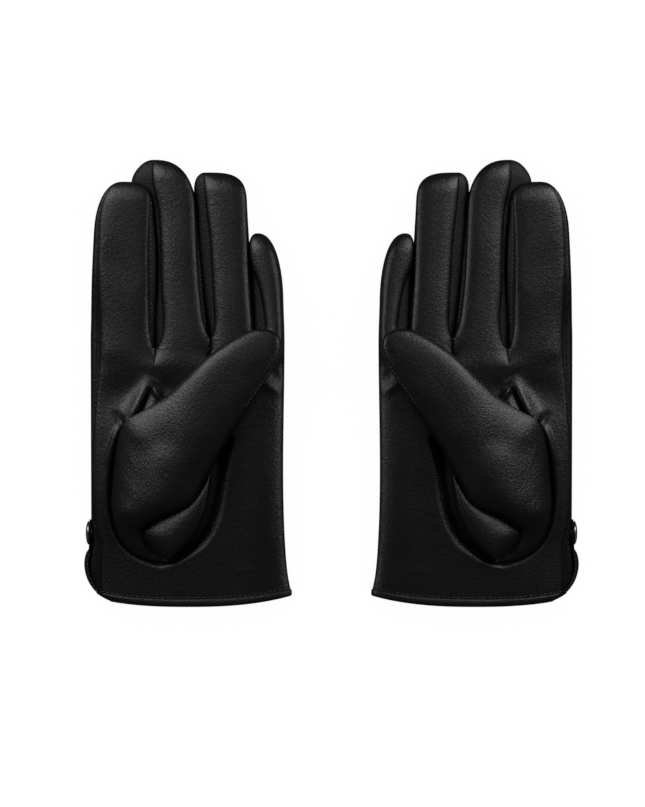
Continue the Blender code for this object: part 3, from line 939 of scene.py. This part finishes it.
    def finger_ring(self, number: int, ring_y: Array) -> Array:
        """A finger's rings, the first of them on the line through the forks.

        Args:
            number: the finger's place in FINGERS.
            ring_y: y of each ring at its middle, rising from the mean of its two forks to the tip.

        Returns:
            A closed grid of points, rings by columns.
        """
        finger = FINGERS[number]
        a = self.arc_share()[None, :]
        u = (a + 1.0) / 2.0
        left_y, right_y = self.line_y[number:number + 2]
        first = left_y + (right_y - left_y) * smooth(0.0, 1.0, u)
        settle = 1.0 - smooth(ring_y[0], ring_y[0] + 14.0, ring_y)[:, None]
        y = ring_y[:, None] + (first - ring_y[0]) * settle

        def line(values: tuple[float, ...], side: int, at: Array, above: Array) -> Array:
            """x of one of the finger's four lines, drawn in to the fork below and the tip above.

            Args:
                values: the line's x at the finger's own heights.
                side: 0 for a left line and 1 for a right one.
                at: y to read it at.
                above: how far each ring is above the line through the forks.

            Returns:
                x at each y.
            """
            x = through(finger.ys, values, at)
            fork = number - 1 + side
            kind = (finger.left_kind, finger.right_kind)[side]
            if kind == "fork":
                up = np.clip(above / self.fork_reach, 0.0, 1.0)
                x = self.fork_x[fork] + (x - self.fork_x[fork]) * np.sqrt(1.0 - (1.0 - up) ** 2)
            else:
                hand = self.right_side(at) if side else self.left_side(at)
                if values is finger.left_seam:
                    hand = self.left_seam(at)
                x = hand + (x - hand) * smooth(19.5, 34.0, at)
            left = self.rounding(finger, at, finger.round_y[side], finger.power[side])
            return finger.tip[0] + (x - finger.tip[0]) * left

        rise = y - first
        seam_l, seam_r = line(finger.left_seam, 0, y, rise), line(finger.right_seam, 1, y, rise)
        x = self.across(number, y, u, seam_l, seam_r)
        wrinkle = self.folds(x, y) * (1.0 - smooth(90.0, 100.0, y)) * (1.0 - np.abs(a) ** 4)
        palm = np.stack([x, y, self.palm_z(finger, a, y) + wrinkle], axis=-1)
        back = np.stack([x, y, self.back_z(finger, a, y)], axis=-1)
        parts = [palm]
        if finger.right_kind == "fork":
            edge = line(finger.right_edge, 1, y[:, -1], rise[:, -1])
            parts.append(self.strip_points(palm[:, -1], back[:, -1], edge, *self.fork_bow)[:, 1:-1])
        parts.append(back[:, ::-1])
        edge = line(finger.left_edge, 0, y[:, 0], rise[:, 0])
        bow = self.side_bow if finger.left_kind == "side" else self.fork_bow
        parts.append(self.strip_points(palm[:, 0], back[:, 0], edge, *bow)[:, ::-1][:, 1:-1])
        return np.concatenate(parts, axis=1)

    def ring_rows(self, number: int) -> Array:
        """Places of a finger's rings: close together at the forks, then even, then close at the tip.

        Args:
            number: the finger's place in FINGERS.

        Returns:
            y of each ring at its middle.
        """
        finger = FINGERS[number]
        start = (self.line_y[number] + self.line_y[number + 1]) / 2
        turn = min(*finger.round_y, finger.tip[1] - self.tip_length)
        near = start + 6.0 * np.linspace(0.0, 1.0, self.fork_rows) ** 1.8
        straight = np.linspace(near[-1], turn, max(int((turn - near[-1]) / self.ring_pitch), 4))[1:]
        tip = turn + (finger.tip[1] - turn) * np.sin(np.linspace(0.0, np.pi / 2, self.tip_rows))[1:]
        return np.concatenate([near, straight, tip])

    def hand_labels(self) -> list[str]:
        """The piece of each quad round the hand; a strip's last quad ends on the first column."""
        arcs = len(FINGERS) * (self.arc_steps + 1)
        return ["palm_panel"] * arcs + ["back_panel"] * (arcs - 1) + ["side_panel"] * self.strip_steps

    def finger_labels(self, finger: FingerShape) -> list[str]:
        """The piece of each quad round a finger, in the order of its ring.

        Args:
            finger: the finger.

        Returns:
            One name for each quad. Without a right strip, one quad more belongs to the back.
        """
        palm, back = [f"{finger.name}_palm"], [f"{finger.name}_back"]
        left = [f"{finger.name}_side" if finger.left_kind == "side" else f"{finger.name}_fork_left"]
        right, extra = [f"{finger.name}_fork_right"] * self.strip_steps, 0
        if finger.right_kind != "fork":
            right, extra = [], 1
        arcs = self.arc_steps
        return palm * arcs + right + back * (arcs + extra) + left * self.strip_steps

    def build(self) -> None:
        """Makes the hand's and the fingers' pieces, and binds the hand's pieces to the hand's body."""
        share = np.concatenate([np.linspace(0.0, self.hem_share, self.hem_rows),
                                np.linspace(self.hem_share, 1.0, self.hand_rows)[1:]])
        grids, labels = [self.hand_ring(share)], [self.hand_labels()]
        for number, finger in enumerate(FINGERS):
            grids.append(self.finger_ring(number, self.ring_rows(number)))
            labels.append(self.finger_labels(finger))
        points, faces, names, count = [], [], [], 0
        for grid, label in zip(grids, labels):
            rows, columns = grid.shape[:2]
            points.append(grid.reshape(-1, 3))
            faces.append(grid_faces(rows, columns, wrap=True) + count)
            names.append(np.tile(label, rows - 1))
            count += rows * columns
        points, faces = merged(np.concatenate(points), np.concatenate(faces))
        names = np.concatenate(names)
        self.dress(points, faces, names, vertex_normals(points, faces))
        for number, first, last in self.stitched:
            self.fork_stitches(number, first, last)

    def fork_stitches(self, number: int, first: float, last: float) -> None:
        """A row of stitches beside a finger's right palm seam, on its strip.

        Args:
            number: the finger's place in FINGERS.
            first: y of the lowest stitch.
            last: y of the highest stitch.
        """
        finger = FINGERS[number]
        rows = self.ring_rows(number)
        grid = self.finger_ring(number, rows)[(rows > first) & (rows < last)]
        path = grid[:, self.arc_steps + 3]
        up = np.cross(grid[:, self.arc_steps + 4] - grid[:, self.arc_steps + 2], np.array([0.0, -1.0, 0.0]))
        thread = stitches(f"{finger.name}_seam_stitches", self.side, path, up, SEAM_PITCH,
                          self.finishes.thread)
        self.bend(thread)

    def bend(self, obj: bpy.types.Object) -> None:
        """Bakes the place of a finger's piece into its mesh, where it stays.

        Args:
            obj: the piece.
        """
        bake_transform(obj)

    def finish_of(self, name: str) -> Material:
        """The finish of a leather piece, by its name."""
        # The fork strips take the darker strip leather, painted shade in the slots.
        plain = self.finishes.strip if "fork" in name else self.finishes.leather
        # The side strips take the darker side leather, painted shade.
        return self.finishes.edge if "side" in name else plain

    def dress(self, points: Array, faces: Array, names: Array, normals: Array) -> None:
        """Splits the surface into its leather pieces, each standing for its CAD node.

        Args:
            points: all its points.
            faces: all its quads.
            names: the piece that each quad belongs to.
            normals: the normal at each point.
        """
        gussets = {"index_fork_right": "index_middle_gusset", "middle_fork_right": "middle_ring_gusset",
                   "ring_fork_right": "ring_little_gusset"}
        for name in np.unique(names):
            quads = faces[names == name]
            obj = add_piece(f"{name}_skin", self.side, points, quads, self.finish_of(name), normals)
            nodes = [name] + ([gussets[name]] if name in gussets else [])
            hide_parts(*(f"{self.side.value}_{n}" for n in nodes))
            if name.endswith("panel"):
                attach(obj, f"{self.side.value}_hand")
                continue
            self.bend(obj)


# ------------------------------------------------------------------ the thumb
@dataclass
class ThumbShell:
    """The set-in thumb, lying across the palm: one closed loft between its two side lines.

    The lines' points and heights and the loft's crown and keel, which is how far it hangs below the
    lines, go together: one of each for every key along the thumb.

    Each ring runs from the outer line over the crown to the inner line and back underneath. The
    inner line follows the rim of the gusset first and then turns along the folded edge.
    """

    side: Side
    finishes: Finishes
    rows: int = 260
    steps: int = 72
    outer: tuple = ((-11.0, -95.2), (-20.7, -94.0), (-30.5, -89.2), (-37.2, -80.0), (-40.0, -66.0),
                    (-39.3, -53.1), (-38.0, -39.0), (-35.6, -27.0), (-31.8, -20.0), (-24.5, -15.6),
                    (-12.7, -8.5), (-1.5, 1.4), (10.5, 13.1), (22.3, 21.6), (32.3, 27.0),
                    (37.6, 28.1), (42.0, 27.9), (45.6, 26.6))
    inner: tuple = ((-10.4, -94.2), (-15.4, -90.6), (-20.2, -85.0), (-23.1, -79.0), (-21.0, -75.9),
                    (-12.9, -71.0), (-3.7, -67.6), (3.0, -63.8), (7.3, -56.1), (12.3, -46.4),
                    (20.1, -32.1), (29.3, -17.5), (37.3, -5.8), (45.6, 6.6), (49.5, 15.0),
                    (49.8, 19.9), (48.8, 23.4), (46.4, 26.2))
    outer_z: tuple = (10.6, 10.8, 11.4, 12.8, 14.6, 14.8, 15.2, 16.6, 18.4, 19.8, 21.4, 22.4, 22.6,
                      22.0, 21.2, 21.0, 21.0, 21.0)
    inner_z: tuple = (10.6, 10.6, 11.2, 12.6, 15.0, 16.8, 17.6, 18.2, 18.8, 19.6, 20.8, 21.8, 22.2,
                      21.6, 21.0, 21.0, 21.0, 21.0)
    crown: tuple = (0.3, 1.8, 4.4, 6.6, 8.8, 10.4, 11.0, 10.6, 9.8, 8.8, 7.6, 6.6, 6.2, 6.2, 5.8,
                    5.4, 4.4, 0.8)
    keel: tuple = (0.2, 1.0, 1.6, 2.0, 2.4, 3.0, 3.4, 3.8, 4.2, 4.6, 5.2, 5.6, 5.6, 5.4, 4.8, 4.0,
                   2.8, 0.5)
    tip_rows: int = 16
    sewn: tuple = (0.66, 0.83, 0.88)  # the stitches: first and last share along, and share across
    sewn_up: tuple = (0.5, -0.4, 0.77)  # the direction that they face
    sewn_pitch: float = 2.2
    way: tuple = (0.6, 0.8)  # the direction of the thumb across the palm
    bend_reach: float = 14.0  # its reach to each side of the thumb's joint

    def surface(self) -> Array:
        """The loft: P(s,t) between the lines A(s) and B(s), raised by crown(s) (1-|2t-1|^p)^(1/p).

        Half way along, t is first raised to a power over 1, which moves the crown to the inner line.

        Returns:
            A closed grid of points, rings by columns.
        """
        key = np.arange(len(self.outer), dtype=float)
        s = np.linspace(0.0, key[-1], self.rows)
        tip = key[-2] + np.sin(np.linspace(0, np.pi / 2, self.tip_rows))
        s = np.concatenate([s[s < key[-2]], tip])[:, None]
        a = through(key, np.array(self.outer), s[:, 0])[:, None]
        b = through(key, np.array(self.inner), s[:, 0])[:, None]
        za, zb = through(key, self.outer_z, s), through(key, self.inner_z, s)
        crown, keel = through(key, self.crown, s), through(key, self.keel, s)
        t = eased(self.steps)[None, :]
        flat = a + (b - a) * t[..., None]
        level = za + (zb - za) * t
        lean = t ** (1.0 + 0.75 * smooth(2.0, 5.0, s) * (1.0 - smooth(8.0, 12.0, s)))
        top = level + crown * dome(2 * lean - 1, 2.15 + 0.9 * smooth(9.0, 13.0, s))
        top += self.folds(flat[..., 0], flat[..., 1]) * (1.0 - np.abs(2 * t - 1) ** 6)
        return loft(flat, top, level - keel * dome(2 * t - 1, 2.4))

    def folds(self, x: Array, y: Array) -> Array:
        """Soft dents and puffs of the thumb's leather, each a bell about a short line."""
        return bells(x, y, THUMB_FOLDS) + 0.10 * np.sin(x * 0.19 + y * 0.08) * np.sin(y * 0.13 + 1.2)

    def build(self) -> None:
        """Makes the thumb and its stitches, each baked in place."""
        grid = self.surface()
        obj = add_grid("thumb_skin", self.side, grid, self.finishes.leather)
        name = self.side.value
        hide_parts(f"{name}_thumb_base", f"{name}_thumb_front", f"{name}_thumb_back")
        first, last, across = self.sewn
        seam = grid[round(first * self.rows):round(last * self.rows), round(across * self.steps)]
        up = np.tile(self.sewn_up, (len(seam), 1))
        thread = stitches("thumb_seam_stitches", self.side, seam, up, self.sewn_pitch,
                          self.finishes.thread, width=0.36)
        for piece in (obj, thread):
            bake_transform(piece)


@dataclass
class ThumbGusset:
    """The pointed-oval gusset between the thumb's folded edge and the palm, slightly puffed."""

    side: Side
    finishes: Finishes
    steps: int = 40
    rows: int = 120
    tucked: tuple = ((-10.2, -94.0), (-15.4, -90.5), (-20.0, -85.0), (-22.9, -79.4), (-19.0, -73.0),
                     (-8.0, -65.5), (1.0, -60.0), (7.6, -53.0), (12.4, -46.0))
    rim: tuple = ((-10.2, -94.0), (-6.6, -91.0), (-2.4, -87.2), (2.6, -81.6), (6.6, -75.4),
                  (9.6, -68.6), (11.4, -59.4), (12.1, -52.2), (12.4, -46.0))
    edge_z: float = 14.6  # height of its two points
    puff: float = 5.4  # how far it swells above its edge
    sag: float = 1.6  # and below

    def build(self) -> None:
        """Makes the pillow: a crown between its two lines, fullest towards the rim."""
        tucked, rim = along(self.tucked, self.rows)[:, None], along(self.rim, self.rows)[:, None]
        t = eased(self.steps)[None, :]
        flat = tucked + (rim - tucked) * t[..., None]
        share = np.linspace(-1.0, 1.0, self.rows)[:, None]
        level = self.edge_z + 1.8 * dome(share, 2.0)
        top = level + self.puff * dome(2 * t**1.9 - 1, 2.3) * dome(share, 3.0)
        under = level - self.sag * dome(2 * t - 1, 2.6) * dome(share, 2.6)
        grid = loft(flat, top, under)
        obj = add_grid("thumb_gusset_skin", self.side, grid, self.finishes.leather)
        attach(obj, f"{self.side.value}_hand")


# ------------------------------------------------------------------ edges, lining, tab and snap
@dataclass
class WristEdge:
    """The bound hem with its row of stitches, and the lining inside the wrist."""

    side: Side
    finishes: Finishes
    shell: HandShell
    depth: float = 3.6
    stitch_pitch: float = 2.7
    columns: int = 420  # points round the wrist
    lining_depth: float = 70.0
    lining_rows: int = 30

    def ring_at(self, rise: float) -> tuple[Array, Array]:
        """The shell's ring at a height above the hem.

        Args:
            rise: the height in millimetres, below 0 to move the hem's own ring down.

        Returns:
            Its points, evenly spaced, and the outward direction at each in the ring's section.
        """
        height = self.shell.outer_y - self.shell.hem_y
        ring = self.shell.hand_ring(np.array([max(rise, 0.0) / height]))[0]
        _, first = np.unique(np.round(ring, 4), axis=0, return_index=True)
        ring = ring[np.sort(first)]
        closed = np.concatenate([ring, ring[:1]])
        run = running(closed)
        ring = read_at(np.linspace(0.0, run[-1], self.columns + 1)[:-1], run, closed)
        ring[:, 1] += min(rise, 0.0)
        step = np.roll(ring, -1, axis=0) - np.roll(ring, 1, axis=0)
        out = np.stack([-step[:, 2], np.zeros(len(step)), step[:, 0]], axis=1)
        return ring, out / np.linalg.norm(out, axis=1, keepdims=True)

    def carry(self, profile: tuple) -> Array:
        """Carries a profile round the wrist.

        Args:
            profile: pairs of a rise above the hem and an offset outwards.

        Returns:
            A grid with a row for each pair.
        """
        rows = []
        for rise, offset in profile:
            ring, out = self.ring_at(rise)
            moved = ring + offset * out
            moved[:, 2] = np.maximum(moved[:, 2], 0.0)
            rows.append(moved)
        return np.array(rows)

    def build(self) -> None:
        """Makes the binding, the stitches and the lining."""
        name = self.side.value
        depth = self.depth
        profile = ((depth + 0.1, -0.4), (depth, 0.30), (depth - 0.3, 0.55), (depth - 0.9, 0.72),
                   (depth * 0.5, 0.80), (0.8, 0.76), (0.1, 0.55), (-0.35, 0.1), (-0.45, -0.5),
                   (-0.3, -1.1), (0.2, -1.5), (1.2, -1.7), (depth, -1.75))
        binding = add_grid("hem_binding_skin", self.side, self.carry(profile), self.finishes.binding)
        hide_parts(f"{name}_hem_binding")
        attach(binding, f"{name}_hand")
        rises = np.linspace(1.0, self.lining_depth, self.lining_rows)
        lining = [self.carry(((rise, -1.5 - 0.25 * np.sin(rise * 0.5)),))[0] for rise in rises]
        end = lining[-1].mean(axis=0)
        lining += [end + (lining[-1] - end) * k for k in (0.9, 0.6, 0.3, 0.0)]
        fleece = add_grid("wrist_lining_skin", self.side, np.array(lining), self.finishes.fleece, hollow=True)
        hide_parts(f"{name}_wrist_lining")
        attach(fleece, f"{name}_hand")
        ring, out = self.ring_at(depth + 0.75)
        thread = stitches("hem_stitches", self.side, ring + 0.12 * out, out, self.stitch_pitch,
                          self.finishes.thread)
        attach(thread, f"{name}_hand")


def stitches(name: str, side: Side, path: Array, up: Array, pitch: float, finish: Material,
             length: float = 1.9, width: float = 0.42) -> bpy.types.Object:
    """A row of sewn stitches, each a small pointed bead half sunk in the leather.

    A bead's rings have the radius w/2 sin(u)^0.6 at the place -l/2 cos(u) along it.

    Args:
        name: the object's name, without its side.
        side: the glove that it belongs to.
        path: glove points along the seam.
        up: the leather's outward direction at each point.
        pitch: distance between stitches.
        finish: the thread's material.
        length: of one stitch.
        width: of the thread.

    Returns:
        The new object.
    """
    rings = columns = 6
    near = 0.3  # how far before and after a stitch the seam's direction is read
    run = running(path)
    spots = np.arange(pitch / 2, run[-1], pitch)
    middle = read_at(spots, run, path)
    way = read_at(spots + near, run, path) - read_at(spots - near, run, path)
    way /= np.linalg.norm(way, axis=1, keepdims=True)
    rise = read_at(spots, run, up)
    rise /= np.linalg.norm(rise, axis=1, keepdims=True)
    turn, about = np.linspace(0.0, np.pi, rings)[:, None], circle(columns)
    thick = np.sin(turn) ** 0.6 * width / 2
    bead = np.stack([-np.cos(turn) * length / 2 + 0.0 * about, thick * np.cos(about),
                     thick * np.sin(about)], axis=-1)
    axes = np.stack([way, np.cross(way, rise), rise], axis=1)
    points = np.einsum("rck,nkj->nrcj", bead, axes) + middle[:, None, None]
    faces = grid_faces(rings, columns, wrap=True)[:, ::-1]
    number = np.arange(len(spots))[:, None, None] * rings * columns
    whole = (faces[None] + number).reshape(-1, 4)
    return add_piece(name, side, *merged(points.reshape(-1, 3), whole), finish)


@dataclass
class SideTab:
    """The tab at the side of the wrist, with its row of stitches and its press snap."""

    side: Side
    finishes: Finishes
    mid_z: float = 6.4
    snap_y: float = -79.5
    path: tuple = ((-43.2, -111.6), (-47.4, -110.6), (-50.0, -107.8), (-52.1, -104.0), (-53.4, -99.6),
                   (-53.7, -95.2), (-53.0, -91.2), (-51.8, -87.6), (-51.5, -80.0), (-51.4, -72.4))
    half_width: tuple = (4.4, 4.9, 5.3, 5.6, 5.8, 5.9, 5.9, 5.8, 5.4, 4.0)
    lean: float = 1.1  # how far the flared part tips towards the palm at its top edge
    thick: float = 0.85  # half the thickness of the strap at its edges
    rows: int = 90
    wall: float = -50.4  # x of the glove's side behind the snap

    def build(self) -> None:
        """Makes the strap, its stitches and the snap.

        The strap is a flat section carried along the path: as the angle u goes round it, it lies
        sign(cos u) |cos u|^0.5 of the half width across and sin(u) times the thickness out.
        """
        name = self.side.value
        share = np.linspace(0, 1, self.rows)
        flat = along(self.path, self.rows)
        step = np.gradient(flat, axis=0)
        out = np.stack([-step[:, 1], step[:, 0]], axis=1)
        out /= np.linalg.norm(out, axis=1, keepdims=True)
        half = through(np.linspace(0, 1, len(self.half_width)), self.half_width, share)
        round_end = np.clip((share - 0.88) / 0.125, 0, 1)
        half = half * np.sqrt(np.clip(1.0 - round_end**2, 0.02, 1))
        tip_in = self.lean * (1.0 - smooth(-91.0, -86.5, flat[:, 1]))
        turn = circle(40)
        across = np.sign(np.cos(turn)) * np.abs(np.cos(turn)) ** 0.5
        swell = np.sin(turn) * (0.55 + 0.45 * np.abs(across) ** 6) * self.thick
        grid = np.empty((self.rows, len(turn), 3))
        grid[..., :2] = flat[:, None] + out[:, None] * swell[None, :, None]
        grid[..., 2] = self.mid_z + half[:, None] * across
        grid[..., 0] += tip_in[:, None] * across
        first, last = (np.broadcast_to(row.mean(axis=0), row.shape)[None] for row in (grid[0], grid[-1]))
        grid = np.concatenate([first, grid, last])
        # The strap wears the darker strip leather, painted shade.
        obj = add_grid("side_tab_skin", self.side, grid, self.finishes.strip)
        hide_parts(f"{name}_side_tab")
        edge = np.stack([flat[:, 0] + tip_in, flat[:, 1], self.mid_z + half + 0.1], axis=1)
        up = np.concatenate([0.4 * out, np.ones((self.rows, 1))], axis=1)
        sewn = slice(10, -34)
        thread = stitches("tab_stitches", self.side, edge[sewn], up[sewn], SEAM_PITCH,
                          self.finishes.thread)
        for piece in (obj, thread):
            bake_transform(piece)
        self.snap()

    def snap(self) -> None:
        """Makes the snap's parts, each a profile of (radius, x) pairs turned about a line along X."""
        name = self.side.value
        cap = ((0.0, -3.5), (1.8, -3.45), (3.6, -3.25), (5.0, -2.9), (5.9, -2.45), (6.3, -2.0),
               (6.2, -1.8), (5.6, -1.75), (3.0, -1.7), (0.0, -1.7))
        socket = ((1.8, -0.9), (3.3, -0.8), (3.7, -1.0), (3.7, -1.3), (3.3, -1.5), (1.8, -1.4), (1.8, -0.9))
        stud = ((0.0, -1.3), (0.9, -1.25), (1.4, -1.0), (1.2, -0.7), (3.2, -0.55), (3.4, -0.3), (0.0, -0.3))
        parts = (("snap_cap", cap, "tab"), ("snap_socket", socket, "tab"), ("snap_stud", stud, "hand"))
        turn = circle(48)
        for node_name, profile, body in parts:
            radius, x = np.array(profile, float).T
            grid = np.empty((len(profile), len(turn), 3))
            grid[..., 0] = self.wall + x[:, None]
            grid[..., 1] = self.snap_y + radius[:, None] * np.sin(turn)
            grid[..., 2] = self.mid_z + radius[:, None] * np.cos(turn)
            obj = add_grid(f"{node_name}_metal", self.side, grid, self.finishes.nickel)
            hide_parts(f"{name}_{node_name}")
            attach(obj, f"{name}_{body}")


# ------------------------------------------------------------------ the studio
@dataclass
class Studio:
    """The floor, the light and the camera straight above the pair.

    A light is its name, its place outward, towards the fingertips and up from the glove's middle, its
    size, all in metres, and its power in watts.
    """

    camera_at: tuple[float, float, float] = (-0.00477, -0.01113, 2.0)
    lens_mm: float = 168.2
    floor_size: float = 26.0
    floor_z: float = -0.0004
    dome_radius: float = 12.0
    dome_sink: float = 0.3
    paper_glow: float = 0.95
    world_light: float = 0.06
    lights: tuple = (("key", (0.34, 0.38, 0.42), (0.42, 0.40), 2.7),
                     ("fill", (-0.62, 0.15, 0.30), (0.35, 0.35), 1.15),
                     ("top", (0.05, 0.35, 0.90), (0.5, 0.3), 0.5))

    def build(self) -> None:
        """Makes the camera, a pale floor with its backdrop, and three soft boxes for each glove."""
        scene = bpy.context.scene
        data = bpy.data.cameras.new("camera")
        data.lens, data.sensor_width = self.lens_mm, 36.0
        camera = bpy.data.objects.new("camera", data)
        camera.location = self.camera_at
        scene.collection.objects.link(camera)
        scene.camera = camera
        scene.view_settings.view_transform = "Standard"
        mesh = bpy.data.meshes.new("floor")
        half = self.floor_size / 2
        around = ((-half, -half), (half, -half), (half, half), (-half, half))
        mesh.from_pydata([(x, y, self.floor_z) for x, y in around], [], [(0, 1, 2, 3)])
        floor = bpy.data.objects.new("floor", mesh)
        scene.collection.objects.link(floor)
        material, _, shader, _ = new_material("studio_paper")
        shader.inputs["Base Color"].default_value = linear("#f4f4f4")
        shader.inputs["Roughness"].default_value = 0.9
        shader.inputs["Specular IOR Level"].default_value = 0.0
        shader.inputs["Emission Color"].default_value = (1.0, 1.0, 1.0, 1.0)
        shader.inputs["Emission Strength"].default_value = self.paper_glow
        mesh.materials.append(material)
        self.backdrop(material)
        for obj in (floor, bpy.data.objects["backdrop"]):
            # The paper is far brighter than the leather, and would veil it with its own light.
            obj.visible_diffuse = obj.visible_glossy = False
        world = bpy.data.worlds.new("studio")
        world.use_nodes = True
        world.node_tree.nodes["Background"].inputs["Color"].default_value = (1.0, 1.0, 1.0, 1.0)
        world.node_tree.nodes["Background"].inputs["Strength"].default_value = self.world_light
        scene.world = world
        for side in Side:
            for light in self.lights:
                self.soft_box(side, *light)

    def backdrop(self, material: Material) -> None:
        """Makes a dome of the same paper far around the floor, half a sphere seen from within.

        Args:
            material: the paper.
        """
        rows, columns = 17, 64
        turn, rise = circle(columns), np.linspace(0, np.pi / 2, rows)[:, None]
        shell = np.stack([np.cos(rise) * np.cos(turn), np.cos(rise) * np.sin(turn),
                          np.sin(rise) + 0.0 * turn], axis=-1) * self.dome_radius
        shell[..., 2] -= self.dome_sink
        mesh = bpy.data.meshes.new("backdrop")
        mesh.from_pydata(shell.reshape(-1, 3).tolist(), [],
                         grid_faces(rows, columns, wrap=True)[:, ::-1].tolist())
        mesh.materials.append(material)
        bpy.context.scene.collection.objects.link(bpy.data.objects.new("backdrop", mesh))

    def soft_box(self, side: Side, name: str, offset: tuple[float, float, float],
                 size: tuple[float, float], power: float) -> None:
        """One rectangular light that only this side's glove receives.

        Args:
            side: the glove that it lights.
            name: what it is for.
            offset: outward, towards the fingertips and up from the glove's middle, in metres.
            size: of the box, in metres.
            power: in watts.
        """
        data = bpy.data.lights.new(f"{side.value}_{name}", "AREA")
        data.shape, data.size, data.size_y, data.energy = "RECTANGLE", *size, power
        lamp = bpy.data.objects.new(data.name, data)
        middle = side.sign * PAIR_PITCH / 2 * MM
        lamp.location = (middle + side.sign * offset[0], offset[1], offset[2])
        aim = Vector((middle, 0.0, 0.01)) - lamp.location
        lamp.rotation_euler = aim.to_track_quat("-Z", "Y").to_euler()
        bpy.context.scene.collection.objects.link(lamp)
        lit = bpy.data.collections.new(f"lit_by_{data.name}")
        for obj in bpy.data.objects:
            if obj.type == "MESH" and obj.name.startswith(side.value) and not obj.hide_render:
                lit.objects.link(obj)
        lamp.light_linking.receiver_collection = lit


def main() -> None:
    """Builds both gloves and the studio."""
    logging.basicConfig(level=logging.INFO, format="%(message)s")
    finishes = Finishes()
    for side in Side:
        shell = HandShell(side, finishes)
        shell.build()
        ThumbShell(side, finishes).build()
        ThumbGusset(side, finishes).build()
        WristEdge(side, finishes, shell).build()
        SideTab(side, finishes).build()
    Studio().build()


if __name__ == "__main__":
    main()
